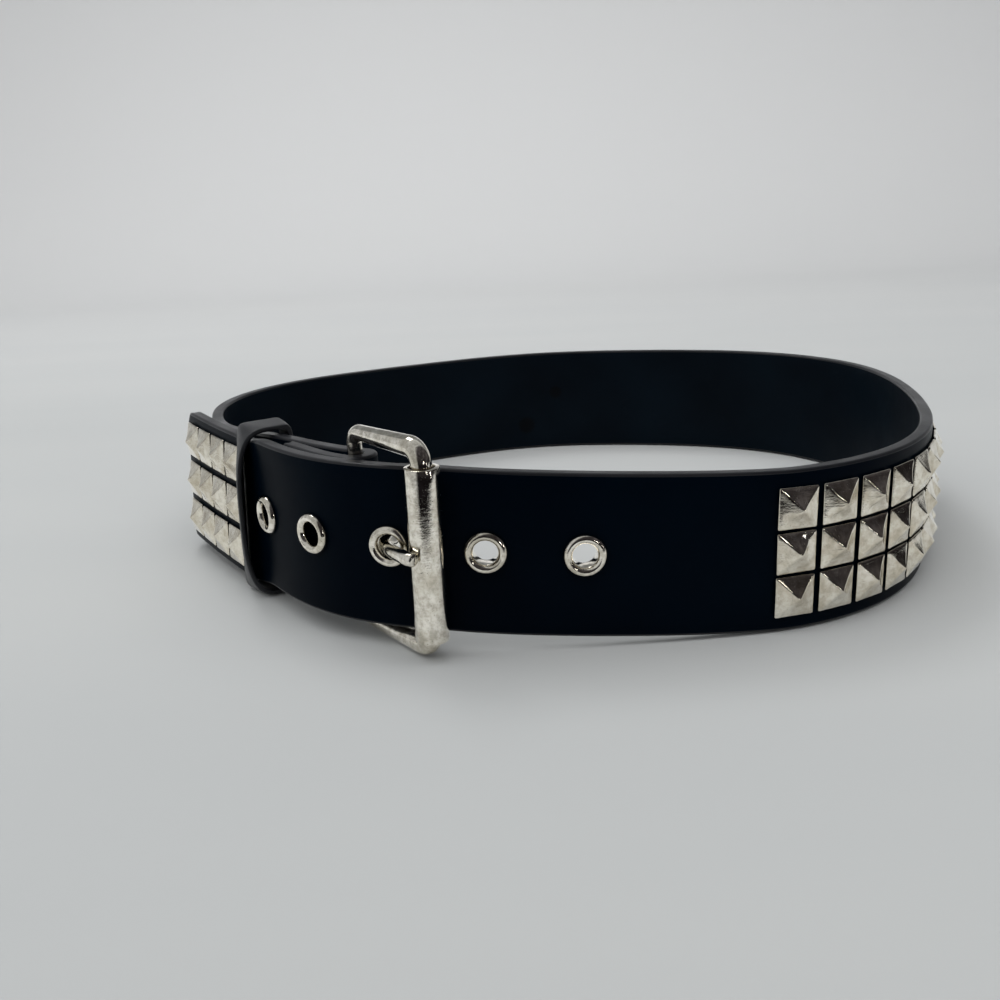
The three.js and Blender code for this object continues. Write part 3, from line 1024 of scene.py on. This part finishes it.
@dataclass
class Buckle:
    """Wire frame, roller and prong, all of plated metal."""

    path: BeltPath
    heel_corner: float = 3.2
    front_corner: float = 4.5
    frame_top_play: float = 3.85
    roller_radius: float = 4.5
    roller_wall: float = 1.1
    roller_setback: float = 0.35
    roller_length: float = 46.2
    roller_low: float = 0.6
    prong_radius: float = 1.8
    prong_ring_wall: float = 2.4
    prong_tip_turn: float = 20
    prong_rest_turn: float = 13
    prong_climb: float = 0.6
    prong_sides: int = 24
    prong_end: float = 0.7
    prong_blunt: float = 0.8
    under_play: float = 1
    over_dome: float = 1.7
    sides: int = 28
    corner_steps: int = 12
    heel_wire: float = 2.05
    front_wire: float = 2.75
    taper: float = 2.5
    rim: float = 0.3
    roller_sides: int = 96
    roller_steps: int = 12
    ring_sides: int = 48
    ring_rim: float = 0.5
    line_steps: int = 14
    frame_crease: float = 60
    roller_crease: float = 40
    prong_crease: float = 50
    seam_depth: float = 0.3
    seam_width: float = 0.05

    def __post_init__(self) -> None:
        """Works out the two axes and the frame's plane."""
        path = self.path
        self.foot = path.inside_at(0)
        self.bar = self.foot.point + self.foot.out * path.bar_offset
        self.rest = path.outer_at(path.bar_length - path.buckle_reach)
        self.roller = self.rest.point + self.rest.out * (self.roller_setback + self.roller_radius)
        reach = self.roller - self.bar
        self.reach = float(np.hypot(*reach))
        self.along = reach / self.reach
        self.height = path.strap_width + 2 * path.buckle_lift - path.arm_play + self.frame_top_play

    def build(self) -> list[bpy.types.Object]:
        """Builds the three pieces.

        Returns:
            Frame, roller and prong.
        """
        made = [(self.frame(), "buckle_frame"), (self.tube(), "roller"), (self.prong(), "prong")]
        for piece, node in made:
            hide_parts(node)
        return [piece for piece, _ in made]

    def frame(self) -> bpy.types.Object:
        """Closed wire: heel bar, two arms and front bar, thickening towards the front.

        Returns:
            The frame.
        """
        path = self.path
        low = self.front_wire
        high = self.height - self.front_wire
        corners = (
            (self.reach - self.front_corner, low + self.front_corner, self.front_corner, -90),
            (self.reach - self.front_corner, high - self.front_corner, self.front_corner, 0),
            (self.heel_corner, high - self.heel_corner, self.heel_corner, 90),
            (self.heel_corner, low + self.heel_corner, self.heel_corner, 180),
        )
        side = np.array([-self.along[1], self.along[0]])
        rings = []
        for centre, level, radius, start in corners:
            for i in range(self.corner_steps + 1):
                turn = math.radians(start + 90 * i / self.corner_steps)
                a, z = centre + radius * math.cos(turn), level + radius * math.sin(turn)
                share = smooth(self.taper * a / self.reach)
                wire = self.heel_wire + (self.front_wire - self.heel_wire) * share
                ring = []
                for j in range(self.sides):
                    around = 2 * math.pi * j / self.sides
                    far = wire * math.cos(around)
                    plan = self.bar + self.along * (a + far * math.cos(turn)) + side * wire * math.sin(around)
                    ring.append(path.world(plan, z + far * math.sin(turn)))
                rings.append(ring)
        draft = MeshDraft()
        draft.loft(rings, closed=True)
        return draft.build("frame_wire", [Finish.NICKEL.material], self.frame_crease)

    def tube(self) -> bpy.types.Object:
        """Rolled tube on the front bar, with soft rims and a closed seam at the back.

        Returns:
            The roller.
        """
        r, half, soft = self.roller_radius, self.roller_length / 2, self.rim
        bore = r - self.roller_wall
        profile = [(bore, half - soft), (bore, -half + soft), (bore + soft * 0.4, -half)]
        profile += [(r - soft, -half), (r - soft * 0.3, -half + soft * 0.3), (r, -half + soft)]
        steps = self.roller_steps
        profile += [(r, -half + (2 * half) * i / steps) for i in range(1, steps)]
        profile += [(r, half - soft), (r - soft * 0.3, half - soft * 0.3), (r - soft, half)]
        profile.append((bore + soft * 0.4, half))
        level = 2 * self.path.front_radius + self.roller_low + half
        draft = MeshDraft()
        seam = math.atan2(-self.rest.out[1], -self.rest.out[0])
        rings = []
        for i in range(self.roller_sides):
            turn = 2 * math.pi * i / self.roller_sides
            away = math.remainder(turn - seam, 2 * math.pi)
            dip = self.seam_depth * math.exp(-((away / self.seam_width) ** 2))
            ring = []
            for radius, height in profile:
                reach = radius - (dip if radius > bore + soft else 0)
                plan = self.roller + reach * np.array([math.cos(turn), math.sin(turn)])
                ring.append(self.path.world(plan, level + height))
            rings.append(ring)
        draft.loft(rings, closed=True)
        return draft.build("roller_tube", [Finish.NICKEL.material], self.roller_crease)

    def route(self) -> list[Vector]:
        """Middle line of the prong's shank, in millimetres.

        Returns:
            Points from the ring to the blunt end.
        """
        path = self.path
        hole, height = path.eyelet_at(path.prong_hole)
        middle = path.buckle_lift + path.middle
        lean = self.prong_radius / 3
        rest = self.roller_radius + path.seat + self.prong_radius

        def through(outward_by: float, forward: float, level: float = height) -> Vector:
            """A point near the prong's hole.

            Args:
                outward_by: Distance outwards from the belt's face.
                forward: Distance from the hole towards the roller.
                level: Height over the table.

            Returns:
                The point.
            """
            plan = hole.point + hole.out * outward_by - hole.along * forward
            return Vector((plan[0], plan[1], level))

        def round_roller(degrees: float) -> Vector:
            """A point of the shank as it lies on the roller.

            Args:
                degrees: Turn round the roller from its outer side.

            Returns:
                The point.
            """
            turn = math.radians(degrees)
            plan = self.roller + rest * (self.rest.out * math.cos(turn) + self.rest.along * math.sin(turn))
            return Vector((plan[0], plan[1], height + self.prong_climb))

        start = Vector((self.bar[0], self.bar[1], middle))
        behind = -path.strap_thickness - self.prong_radius - self.under_play
        under = through(behind, -self.roller_radius, (middle + height) / 2)
        toward = (under - start).normalized()
        return [
            start + toward * (path.bar_radius + path.bar_play + self.prong_ring_wall / 2),
            under,
            through(-path.strap_thickness, -lean),
            through(self.over_dome, lean),
            round_roller(self.prong_rest_turn + 2 * self.prong_tip_turn),
            round_roller(self.prong_rest_turn + self.prong_tip_turn),
            round_roller(self.prong_rest_turn),
        ]

    def prong(self) -> bpy.types.Object:
        """Ring on the heel bar and a shank that bends over to the roller, with a blunt rounded end.

        Returns:
            The prong.
        """
        path = self.path
        draft = MeshDraft()
        bore = path.bar_radius + path.bar_play
        outer = bore + self.prong_ring_wall
        half, soft = self.prong_radius, self.ring_rim
        profile = [(bore, half - soft), (bore, soft - half), (bore + soft, -half), (outer - soft, -half),
                   (outer, soft - half), (outer, half - soft), (outer - soft, half), (bore + soft, half)]
        middle = path.buckle_lift + path.middle
        draft.lathe(profile, Matrix.Translation(path.world(self.bar, middle)), self.ring_sides)
        line = spline(self.route(), self.line_steps)
        rings = []
        side = Vector((0, 0, 1))
        count = len(line)
        for i, point in enumerate(line):
            ahead = (line[min(i + 1, count - 1)] - line[max(i - 1, 0)]).normalized()
            across = ahead.cross(side).normalized()
            left = (line[-1] - point).length
            full = self.prong_blunt + (1 - self.prong_blunt) * math.sqrt(min(left / self.prong_end, 1))
            radius = self.prong_radius * full
            ring = []
            for j in range(self.prong_sides):
                turn = 2 * math.pi * j / self.prong_sides
                offset = across * radius * math.cos(turn) + side * radius * math.sin(turn)
                place = point + offset
                ring.append(path.world(np.array([place.x, place.y]), place.z))
            rings.append(ring)
        draft.loft(rings)
        return draft.build("prong_shank", [Finish.NICKEL.material], self.prong_crease)


def spline(points: Sequence[Vector], steps: int) -> list[Vector]:
    """Centripetal Catmull-Rom curve through points.

    Args:
        points: Points to pass through.
        steps: Steps between two points.

    Returns:
        Points along the curve.
    """
    ends = [points[0] * 2 - points[1], *points, points[-1] * 2 - points[-2]]
    line = []
    for a, b, c, d in zip(ends, ends[1:], ends[2:], ends[3:]):
        t1 = math.sqrt((b - a).length)
        t2 = t1 + math.sqrt((c - b).length)
        t3 = t2 + math.sqrt((d - c).length)
        for i in range(steps):
            t = t1 + (t2 - t1) * i / steps
            p1 = a * ((t1 - t) / t1) + b * (t / t1)
            p2 = b * ((t2 - t) / (t2 - t1)) + c * ((t - t1) / (t2 - t1))
            p3 = c * ((t3 - t) / (t3 - t2)) + d * ((t - t2) / (t3 - t2))
            q1 = p1 * ((t2 - t) / t2) + p2 * (t / t2)
            q2 = p2 * ((t3 - t) / (t3 - t1)) + p3 * ((t - t1) / (t3 - t1))
            line.append(q1 * ((t2 - t) / (t2 - t1)) + q2 * ((t - t1) / (t2 - t1)))
    line.append(points[-1].copy())
    return line


@dataclass
class Eyelets:
    """Five domed metal eyelets with washers on the inside."""

    path: BeltPath
    radius: float = 5.75
    bore: float = 3.2
    dome: float = 1.7
    flange: float = 4.7
    lip: float = 0.3
    throat: float = 0.1
    barrel: float = 0.6
    washer_sink: float = 0.15
    washer_inner: tuple[tuple[float, float], ...] = ((0, 0.7), (0.15, 0.2), (0.5, 0))
    washer_outer: tuple[tuple[float, float], ...] = ((-0.3, 0), (0, 0.2), (0, 0.6))
    washer_top: float = 0.9
    curl_steps: int = 8
    sides: int = 72
    crease: float = 45

    def profile(self) -> list[tuple[float, float]]:
        """Closed profile of radius and height: rolled dome, barrel and flat washer.

        Returns:
            Points, from the dome's foot round to the barrel.
        """
        t, crest = self.path.strap_thickness, (self.radius + self.bore) / 2
        points = []
        for i in range(self.curl_steps + 1):
            turn = math.pi / 2 * i / self.curl_steps
            rise = self.lip + (self.dome - self.lip) * math.sin(turn)
            points.append((crest + (self.radius - crest) * math.cos(turn), rise))
        for i in range(1, self.curl_steps + 1):
            turn = math.pi / 2 * i / self.curl_steps
            rise = self.throat + (self.dome - self.throat) * math.cos(turn)
            points.append((crest - (crest - self.bore) * math.sin(turn), rise))
        back = -t + self.washer_sink
        points += [(self.bore + across, back + up) for across, up in self.washer_inner]
        points += [(self.flange + across, back + up) for across, up in self.washer_outer]
        points += [(self.bore + self.barrel, back + self.washer_top), (self.bore + self.barrel, self.lip)]
        return points

    def build(self) -> list[bpy.types.Object]:
        """Builds the eyelets.

        Returns:
            The five eyelets.
        """
        pieces = []
        for index in range(self.path.hole_count):
            place, height = self.path.eyelet_at(index)
            draft = MeshDraft()
            draft.lathe(self.profile(), self.path.basis(place, height), self.sides)
            piece = draft.build(f"eyelet_ring_{index + 1}", [Finish.NICKEL.material], self.crease)
            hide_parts(f"eyelet_{index + 1}")
            pieces.append(piece)
        return pieces


@dataclass(frozen=True)
class Dent:
    """A hollow in one stud: column and row, then place, width and depth in shares of the stud's side."""

    column: int
    row: int
    x: float
    y: float
    width: float
    depth: float


@dataclass
class Studs:
    """Pyramid studs in three rows, pressed from thin plate."""

    path: BeltPath
    height: float = 3.6
    skirt: float = 0.7
    row_gap: float = 0.4
    tip_row_gap: float = 1.6
    rows: int = 3
    from_holes: float = 50
    field_end: float = 150
    inset: float = 0.2
    foot: tuple[float, float] = (0.15, 0.25)
    shoulder: tuple[float, float] = (0.12, 0.15)
    blunt: float = 0.12
    point: tuple[float, float] = (0.025, 0.01)
    ridge: float = 0.45
    hollow: float = 0.24
    terraces: tuple[float, ...] = (0.93, 0.84, 0.73, 0.61, 0.49, 0.37, 0.26, 0.16, 0.08)
    corner_steps: int = 3
    side_steps: int = 10
    unevenness: float = 0.09
    turn_play: float = 1.4
    lean_play: float = 1.2
    crease: float = 75
    dents: tuple[Dent, ...] = (
        Dent(0, 2, -0.24, -0.28, 0.19, 0.05),
        Dent(1, 2, -0.22, -0.3, 0.2, 0.055),
        Dent(2, 2, -0.2, -0.3, 0.2, 0.055),
        Dent(0, 1, 0.24, 0.26, 0.24, 0.035),
        Dent(5, 0, 0.22, -0.1, 0.28, 0.035),
    )
    tip_dents: tuple[Dent, ...] = (Dent(0, 2, 0.25, 0.0, 0.3, 0.05), Dent(0, 0, -0.1, -0.2, 0.25, 0.03))

    def outline(self, half: float, rounding: float) -> list[tuple[float, float]]:
        """Square with rounded corners, evenly split.

        Args:
            half: Half of its side.
            rounding: Radius of its corners.

        Returns:
            Its points.
        """
        points = []
        for corner in range(4):
            start = 90 * corner
            turn = math.radians(start)
            c, s = math.cos(turn), math.sin(turn)
            for i in range(self.corner_steps + 1):
                a = math.radians(90 * i / self.corner_steps)
                x, y = half - rounding + rounding * math.cos(a), half - rounding + rounding * math.sin(a)
                points.append((c * x - s * y, s * x + c * y))
            for i in range(1, self.side_steps):
                x, y = half - rounding - (2 * (half - rounding)) * i / self.side_steps, half
                points.append((c * x - s * y, s * x + c * y))
        return points

    def cap(self, draft: MeshDraft, basis: Matrix, dents: Iterable[Dent], seed: float) -> None:
        """Adds one stud.

        Args:
            draft: Mesh that it goes into.
            basis: Its frame, Z outwards.
            dents: Hollows in it.
            seed: Number that makes it differ slightly from the next.
        """
        half, seat = self.path.stud_side / 2 - self.inset, self.path.seat
        top = seat + self.skirt
        levels = [(half - self.foot[0], seat), (half, seat + self.foot[1])]
        levels += [(half, top - self.shoulder[1]), (half - self.shoulder[0], top)]
        slope = self.height - self.skirt
        for k in self.terraces:
            levels.append((half * k, top + slope * (1 - k) - self.hollow * math.sin(math.pi * k)))
        rings = []
        for number, (size, level) in enumerate(levels):
            ring = []
            for x, y in self.outline(size, min(self.ridge, size * 0.45)):
                z = level
                wobble = noise.noise(Vector((x * 0.35 + seed * 7, y * 0.35, seed)))
                z += self.unevenness * wobble if number > 3 else 0
                for dent in dents:
                    far = math.hypot(x / (2 * half) - dent.x, y / (2 * half) - dent.y) / dent.width
                    if far < 1 and number > 2:
                        z -= dent.depth * 2 * half * (1 - far * far) ** 1.5
                ring.append(basis @ Vector((x * MM, y * MM, z * MM)))
            rings.append(ring)
        peak, (wide, rounding) = seat + self.height - self.blunt, self.point
        rings.append([basis @ Vector((x * MM, y * MM, peak * MM))
                      for x, y in self.outline(half * wide, half * rounding)])
        draft.loft(rings)

    def band(self, name: str, node: str, lengths: Sequence[float], gap: float,
             dents: Sequence[Dent]) -> bpy.types.Object:
        """Builds a run of columns, with a gap between rows, as one piece.

        Args:
            name: Name of the piece.
            node: Node that it replaces.
            lengths: Outer length at each column.
            gap: Gap between rows.
            dents: Hollows in the studs.

        Returns:
            The piece.
        """
        path = self.path
        draft = MeshDraft()
        pitch = path.stud_side + gap
        for column, length in enumerate(lengths):
            place = path.outer_at(length)
            for row in range(self.rows):
                seed = column * 1.7 + row * 5.3 + len(lengths)
                height = place.lift + path.middle + (row - 1) * pitch
                turn = math.radians(self.turn_play * noise.noise(Vector((seed, 3, 1))))
                lean = math.radians(self.lean_play * noise.noise(Vector((seed, 9, 4))))
                basis = path.basis(place, height) @ Matrix.Rotation(turn, 4, "Z")
                here = [d for d in dents if d.column == column and d.row == row]
                self.cap(draft, basis @ Matrix.Rotation(lean, 4, "X"), here, seed)
        piece = draft.build(name, [Finish.STUD.material], self.crease)
        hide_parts(node)
        return piece

    def build(self) -> list[bpy.types.Object]:
        """Builds the field round the loop and the block on the tip.

        Returns:
            The two pieces.
        """
        path = self.path
        last_hole = path.hole_length(path.hole_count - 1)
        first = last_hole - self.from_holes - path.stud_side / 2
        count = math.floor((first - self.field_end - path.stud_side / 2) / path.column_pitch) + 1
        field_lengths = [first - i * path.column_pitch for i in range(count)]
        start = path.bar_length + path.keeper_end + path.tip_margin + path.stud_side / 2
        tip_lengths = [start + i * path.column_pitch for i in range(path.tip_columns)]
        return [
            self.band("stud_caps", "stud_field", field_lengths, self.row_gap, self.dents),
            self.band("tip_stud_caps", "tip_studs", tip_lengths, self.tip_row_gap, self.tip_dents),
        ]


@dataclass(frozen=True)
class Lamp:
    """A square light: place, the point it faces, size, power and whether it shows in reflections."""

    name: str
    place: Spot
    aim: Spot
    size: float
    power: float
    glints: bool


@dataclass
class Studio:
    """Pale table and backdrop, soft lights and the camera."""

    path: BeltPath
    focal: float = 36.0
    sensor: float = 36
    clip: float = 0.01
    pitch: float = 16.67
    roll: float = 2.5
    eye: Spot = (-28.3, -357.7, 113.6)
    room: float = 3.4
    room_sides: int = 64
    table_width: float = 2.2
    table_depth: float = 1.0
    bend: float = 0.5
    bend_steps: int = 16
    wall_height: float = 2.4
    wall_span: tuple[float, float] = (-0.5, 5.0)
    table_level: float = -0.0004
    reflected_level: float = -0.0002
    # painted reflection: this factor brightens the copy of the cloth that only reflections see
    reflected_gain: float = 1.4
    front_edge: float = -2.0
    reflected_edge: float = -0.215
    # the third tone is painted light: the cloth turns paler towards the back and the wall
    tones: tuple[Tone, ...] = ((0.405, 0.416, 0.417), (0.427, 0.436, 0.433), (0.585, 0.590, 0.592))
    wall_tone: Tone = (0.55, 0.56, 0.565)
    shadow_tone: Tone = (0.016, 0.014, 0.016)
    clutter_tone: Tone = (0.62, 0.58, 0.62)
    pale_tone: Tone = (0.87, 0.89, 0.9)
    dark_side: Spot = (0.72, -0.69, 0.0)
    room_light: float = 0.62
    lamps: tuple[Lamp, ...] = (
        Lamp("overhead", (-0.15, -1.2, 1.5), (0.0, 0.0, 0.0), 2.8, 19, False),
        Lamp("backdrop_wash", (0.0, 0.3, 1.9), (0.0, 1.5, 1.2), 3.2, 36, False),
        Lamp("window", (-0.45, 0.6, 1.3), (0.0, 0.0, 0.0), 0.5, 6, True),
        Lamp("lamp", (0.66, -1.14, 0.25), (0.1, -0.1, 0.03), 0.08, 0.6, True),
        Lamp("side_lamp", (1.1, -0.8, 0.1), (0.1, -0.1, 0.03), 0.06, 0.25, True),
    )

    def build(self) -> None:
        """Sets the stage."""
        self.camera()
        self.backdrop()
        self.walls()
        self.lights()
        self.surroundings()
        view = bpy.context.scene.view_settings
        view.view_transform = "Standard"

    def camera(self) -> None:
        """Places the camera where the photograph was taken from."""
        data = bpy.data.cameras.new("camera")
        data.sensor_width = self.sensor
        data.lens = self.focal
        data.clip_start = self.clip
        camera = bpy.data.objects.new("camera", data)
        bpy.context.collection.objects.link(camera)
        pitch, roll = math.radians(self.pitch), math.radians(self.roll)
        right, up = Vector((1, 0, 0)), Vector((0, math.sin(pitch), math.cos(pitch)))
        ahead = Vector((0, math.cos(pitch), -math.sin(pitch)))
        x = right * math.cos(roll) - up * math.sin(roll)
        y = right * math.sin(roll) + up * math.cos(roll)
        matrix = Matrix((x, y, -ahead)).transposed().to_4x4()
        matrix.translation = self.path.world(np.array(self.eye[:2]), self.eye[2])
        camera.matrix_world = matrix
        bpy.context.scene.camera = camera

    def backdrop(self) -> None:
        """Table that curves up into a wall. A second, shorter table is the one that shows in reflections,
        with its cloth painted brighter as a painted reflection.
        """
        radius, depth, steps = self.bend, self.table_depth, self.bend_steps
        line = [(self.front_edge, 0.0), (depth, 0.0)]
        line += [(depth + radius * math.sin(a), radius - radius * math.cos(a))
                 for a in (math.radians(90 * i / steps) for i in range(1, steps + 1))]
        line.append((depth + radius, self.wall_height))
        wide = self.sheet("table", line, self.table_level, self.cloth("pale_cloth", 1.0))
        wide.visible_glossy = False
        near = [(self.reflected_edge, 0.0), *line[1:]]
        # painted reflection: a brighter copy of the cloth that only reflections see
        bright = self.cloth("painted_reflection_cloth", self.reflected_gain)
        short = self.sheet("table_reflected", near, self.reflected_level, bright)
        short.visible_camera = False
        short.visible_diffuse = False
        short.visible_shadow = False

    def walls(self) -> None:
        """Pale round wall that only the camera sees, so that the room looks the same from every side."""
        nodes = Surface("pale_wall")
        nodes.constant("Base Color", (0, 0, 0, 1))
        nodes.constant("Specular IOR Level", 0)
        nodes.constant("Emission Color", (*self.wall_tone, 1))
        nodes.constant("Emission Strength", 1)
        turns = [2 * math.pi * i / self.room_sides for i in range(self.room_sides + 1)]
        line = [(self.room * math.cos(a), self.room * math.sin(a)) for a in turns]
        points = [(x, y, z) for x, y in line for z in self.wall_span]
        wall = self.strip("room_wall", points, nodes.material)
        for rays in ("diffuse", "glossy", "transmission", "shadow"):
            setattr(wall, f"visible_{rays}", False)

    def sheet(self, name: str, line: Sequence[tuple[float, float]], level: float,
              cloth: bpy.types.Material) -> bpy.types.Object:
        """A sheet pulled sideways from a line.

        Args:
            name: Its name.
            line: Y and Z of each point.
            level: Height added to the line.
            cloth: Its material.

        Returns:
            The sheet.
        """
        points = [(x, y, z + level) for y, z in line for x in (-self.table_width, self.table_width)]
        sheet = self.strip(name, points, cloth)
        sheet.data.shade_smooth()
        return sheet

    @staticmethod
    def strip(name: str, points: Sequence[Spot], finish: bpy.types.Material) -> bpy.types.Object:
        """A strip of faces between pairs of points, kept as part of the stage.

        Args:
            name: Its name.
            points: The pairs, one after another.
            finish: Its material.

        Returns:
            The strip.
        """
        faces = [(2 * i, 2 * i + 1, 2 * i + 3, 2 * i + 2) for i in range(len(points) // 2 - 1)]
        mesh = bpy.data.meshes.new(name)
        mesh.from_pydata(points, [], faces)
        mesh.materials.append(finish)
        strip = bpy.data.objects.new(name, mesh)
        bpy.context.collection.objects.link(strip)
        return strip

    def cloth(self, name: str, gain: float) -> bpy.types.Material:
        """Pale matte cloth with faint clouding, and painted light that makes it paler towards the back and up
        the wall.

        Args:
            name: Its name.
            gain: Factor on its colours.

        Returns:
            The material.
        """
        nodes = Surface(name)
        cloud = nodes.noise(3.5, 3, stretch=(0.6, 2.2, 1))
        dull, fair, far = (tuple(c * gain for c in tone) for tone in self.tones)
        colour = nodes.blend(nodes.ranged(cloud, 0.3, 0.7), dull, fair)
        parts = nodes.add("ShaderNodeSeparateXYZ")
        nodes.link(nodes.coordinates, parts.inputs[0])
        # painted light: paler towards the back and up the wall, where more light falls
        colour = nodes.blend(nodes.ranged(parts.outputs["Y"], 0.2, 1.5), colour, far)
        nodes.link(colour, nodes.shader.inputs["Base Color"])
        nodes.constant("Roughness", 0.95)
        nodes.constant("Specular IOR Level", 0.1)
        return nodes.material

    def lights(self) -> None:
        """Even light from above, one on the backdrop and small ones that give the glints."""
        for lamp in self.lamps:
            data = bpy.data.lights.new(lamp.name, "AREA")
            data.size = lamp.size
            data.energy = lamp.power
            light = bpy.data.objects.new(lamp.name, data)
            light.location = lamp.place
            facing = Vector(lamp.aim) - Vector(lamp.place)
            light.rotation_euler = facing.to_track_quat("-Z", "Y").to_euler()
            light.visible_glossy = lamp.glints
            bpy.context.collection.objects.link(light)

    def surroundings(self) -> None:
        """Pale room that is dark towards the front and the right, with some clutter in the dark part."""
        world = bpy.data.worlds.new("room")
        bpy.context.scene.world = world
        world.use_nodes = True
        nodes = Nodes(world.node_tree)
        direction = nodes.add("ShaderNodeTexCoord").outputs["Generated"]
        facing = nodes.add("ShaderNodeVectorMath", operation="DOT_PRODUCT")
        facing.inputs[1].default_value = self.dark_side
        nodes.link(direction, facing.inputs[0])
        pale = nodes.ranged(facing.outputs["Value"], 0.34, 0.12)
        clutter = nodes.add("ShaderNodeTexNoise", scale=5, detail=5)
        nodes.link(direction, clutter.inputs["Vector"])
        patches = nodes.ranged(clutter.outputs["Fac"], 0.42, 0.7, 0.03, 0.3)
        parts = nodes.add("ShaderNodeSeparateXYZ")
        nodes.link(direction, parts.inputs[0])
        upper = nodes.combine("MULTIPLY", patches, nodes.ranged(parts.outputs["Z"], -0.05, 0.25))
        dim = nodes.blend(upper, self.shadow_tone, self.clutter_tone)
        background = nodes.add("ShaderNodeBackground", strength=self.room_light)
        nodes.link(nodes.blend(pale, dim, self.pale_tone), background.inputs["Color"])
        nodes.link(background.outputs[0], nodes.add("ShaderNodeOutputWorld").inputs["Surface"])


def dress_fastener(frame: dict) -> None:
    """Gives the hidden fastener that closes the fold its plating.

    Args:
        frame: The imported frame, with its nodes by name.
    """
    node = frame["nodes"]["fold_rivet"]
    node.data.materials.clear()
    node.data.materials.append(Finish.NICKEL.material)


def align(path: BeltPath) -> None:
    """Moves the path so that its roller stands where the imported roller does.

    Args:
        path: The belt's route.
    """
    low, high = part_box("roller")
    centre = (Vector(low) + Vector(high)) / 2
    roller = Buckle(path).roller
    path.shift = np.array([centre.x / MM - roller[0], centre.y / MM - roller[1]])


def main() -> None:
    """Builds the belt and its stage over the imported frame."""
    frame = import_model()
    path = BeltPath()
    align(path)
    Studio(path).build()
    steps: tuple[tuple[str, Callable[[], object]], ...] = (
        ("strap", Strap(path).build),
        ("keeper", Keeper(path).build),
        ("buckle", Buckle(path).build),
        ("eyelets", Eyelets(path).build),
        ("studs", Studs(path).build),
        ("fold fastener", lambda: dress_fastener(frame)),
    )
    for name, step in steps:
        step()
        LOG.info("built %s", name)


if __name__ == "__main__":
    logging.basicConfig(level=logging.INFO)
    main()
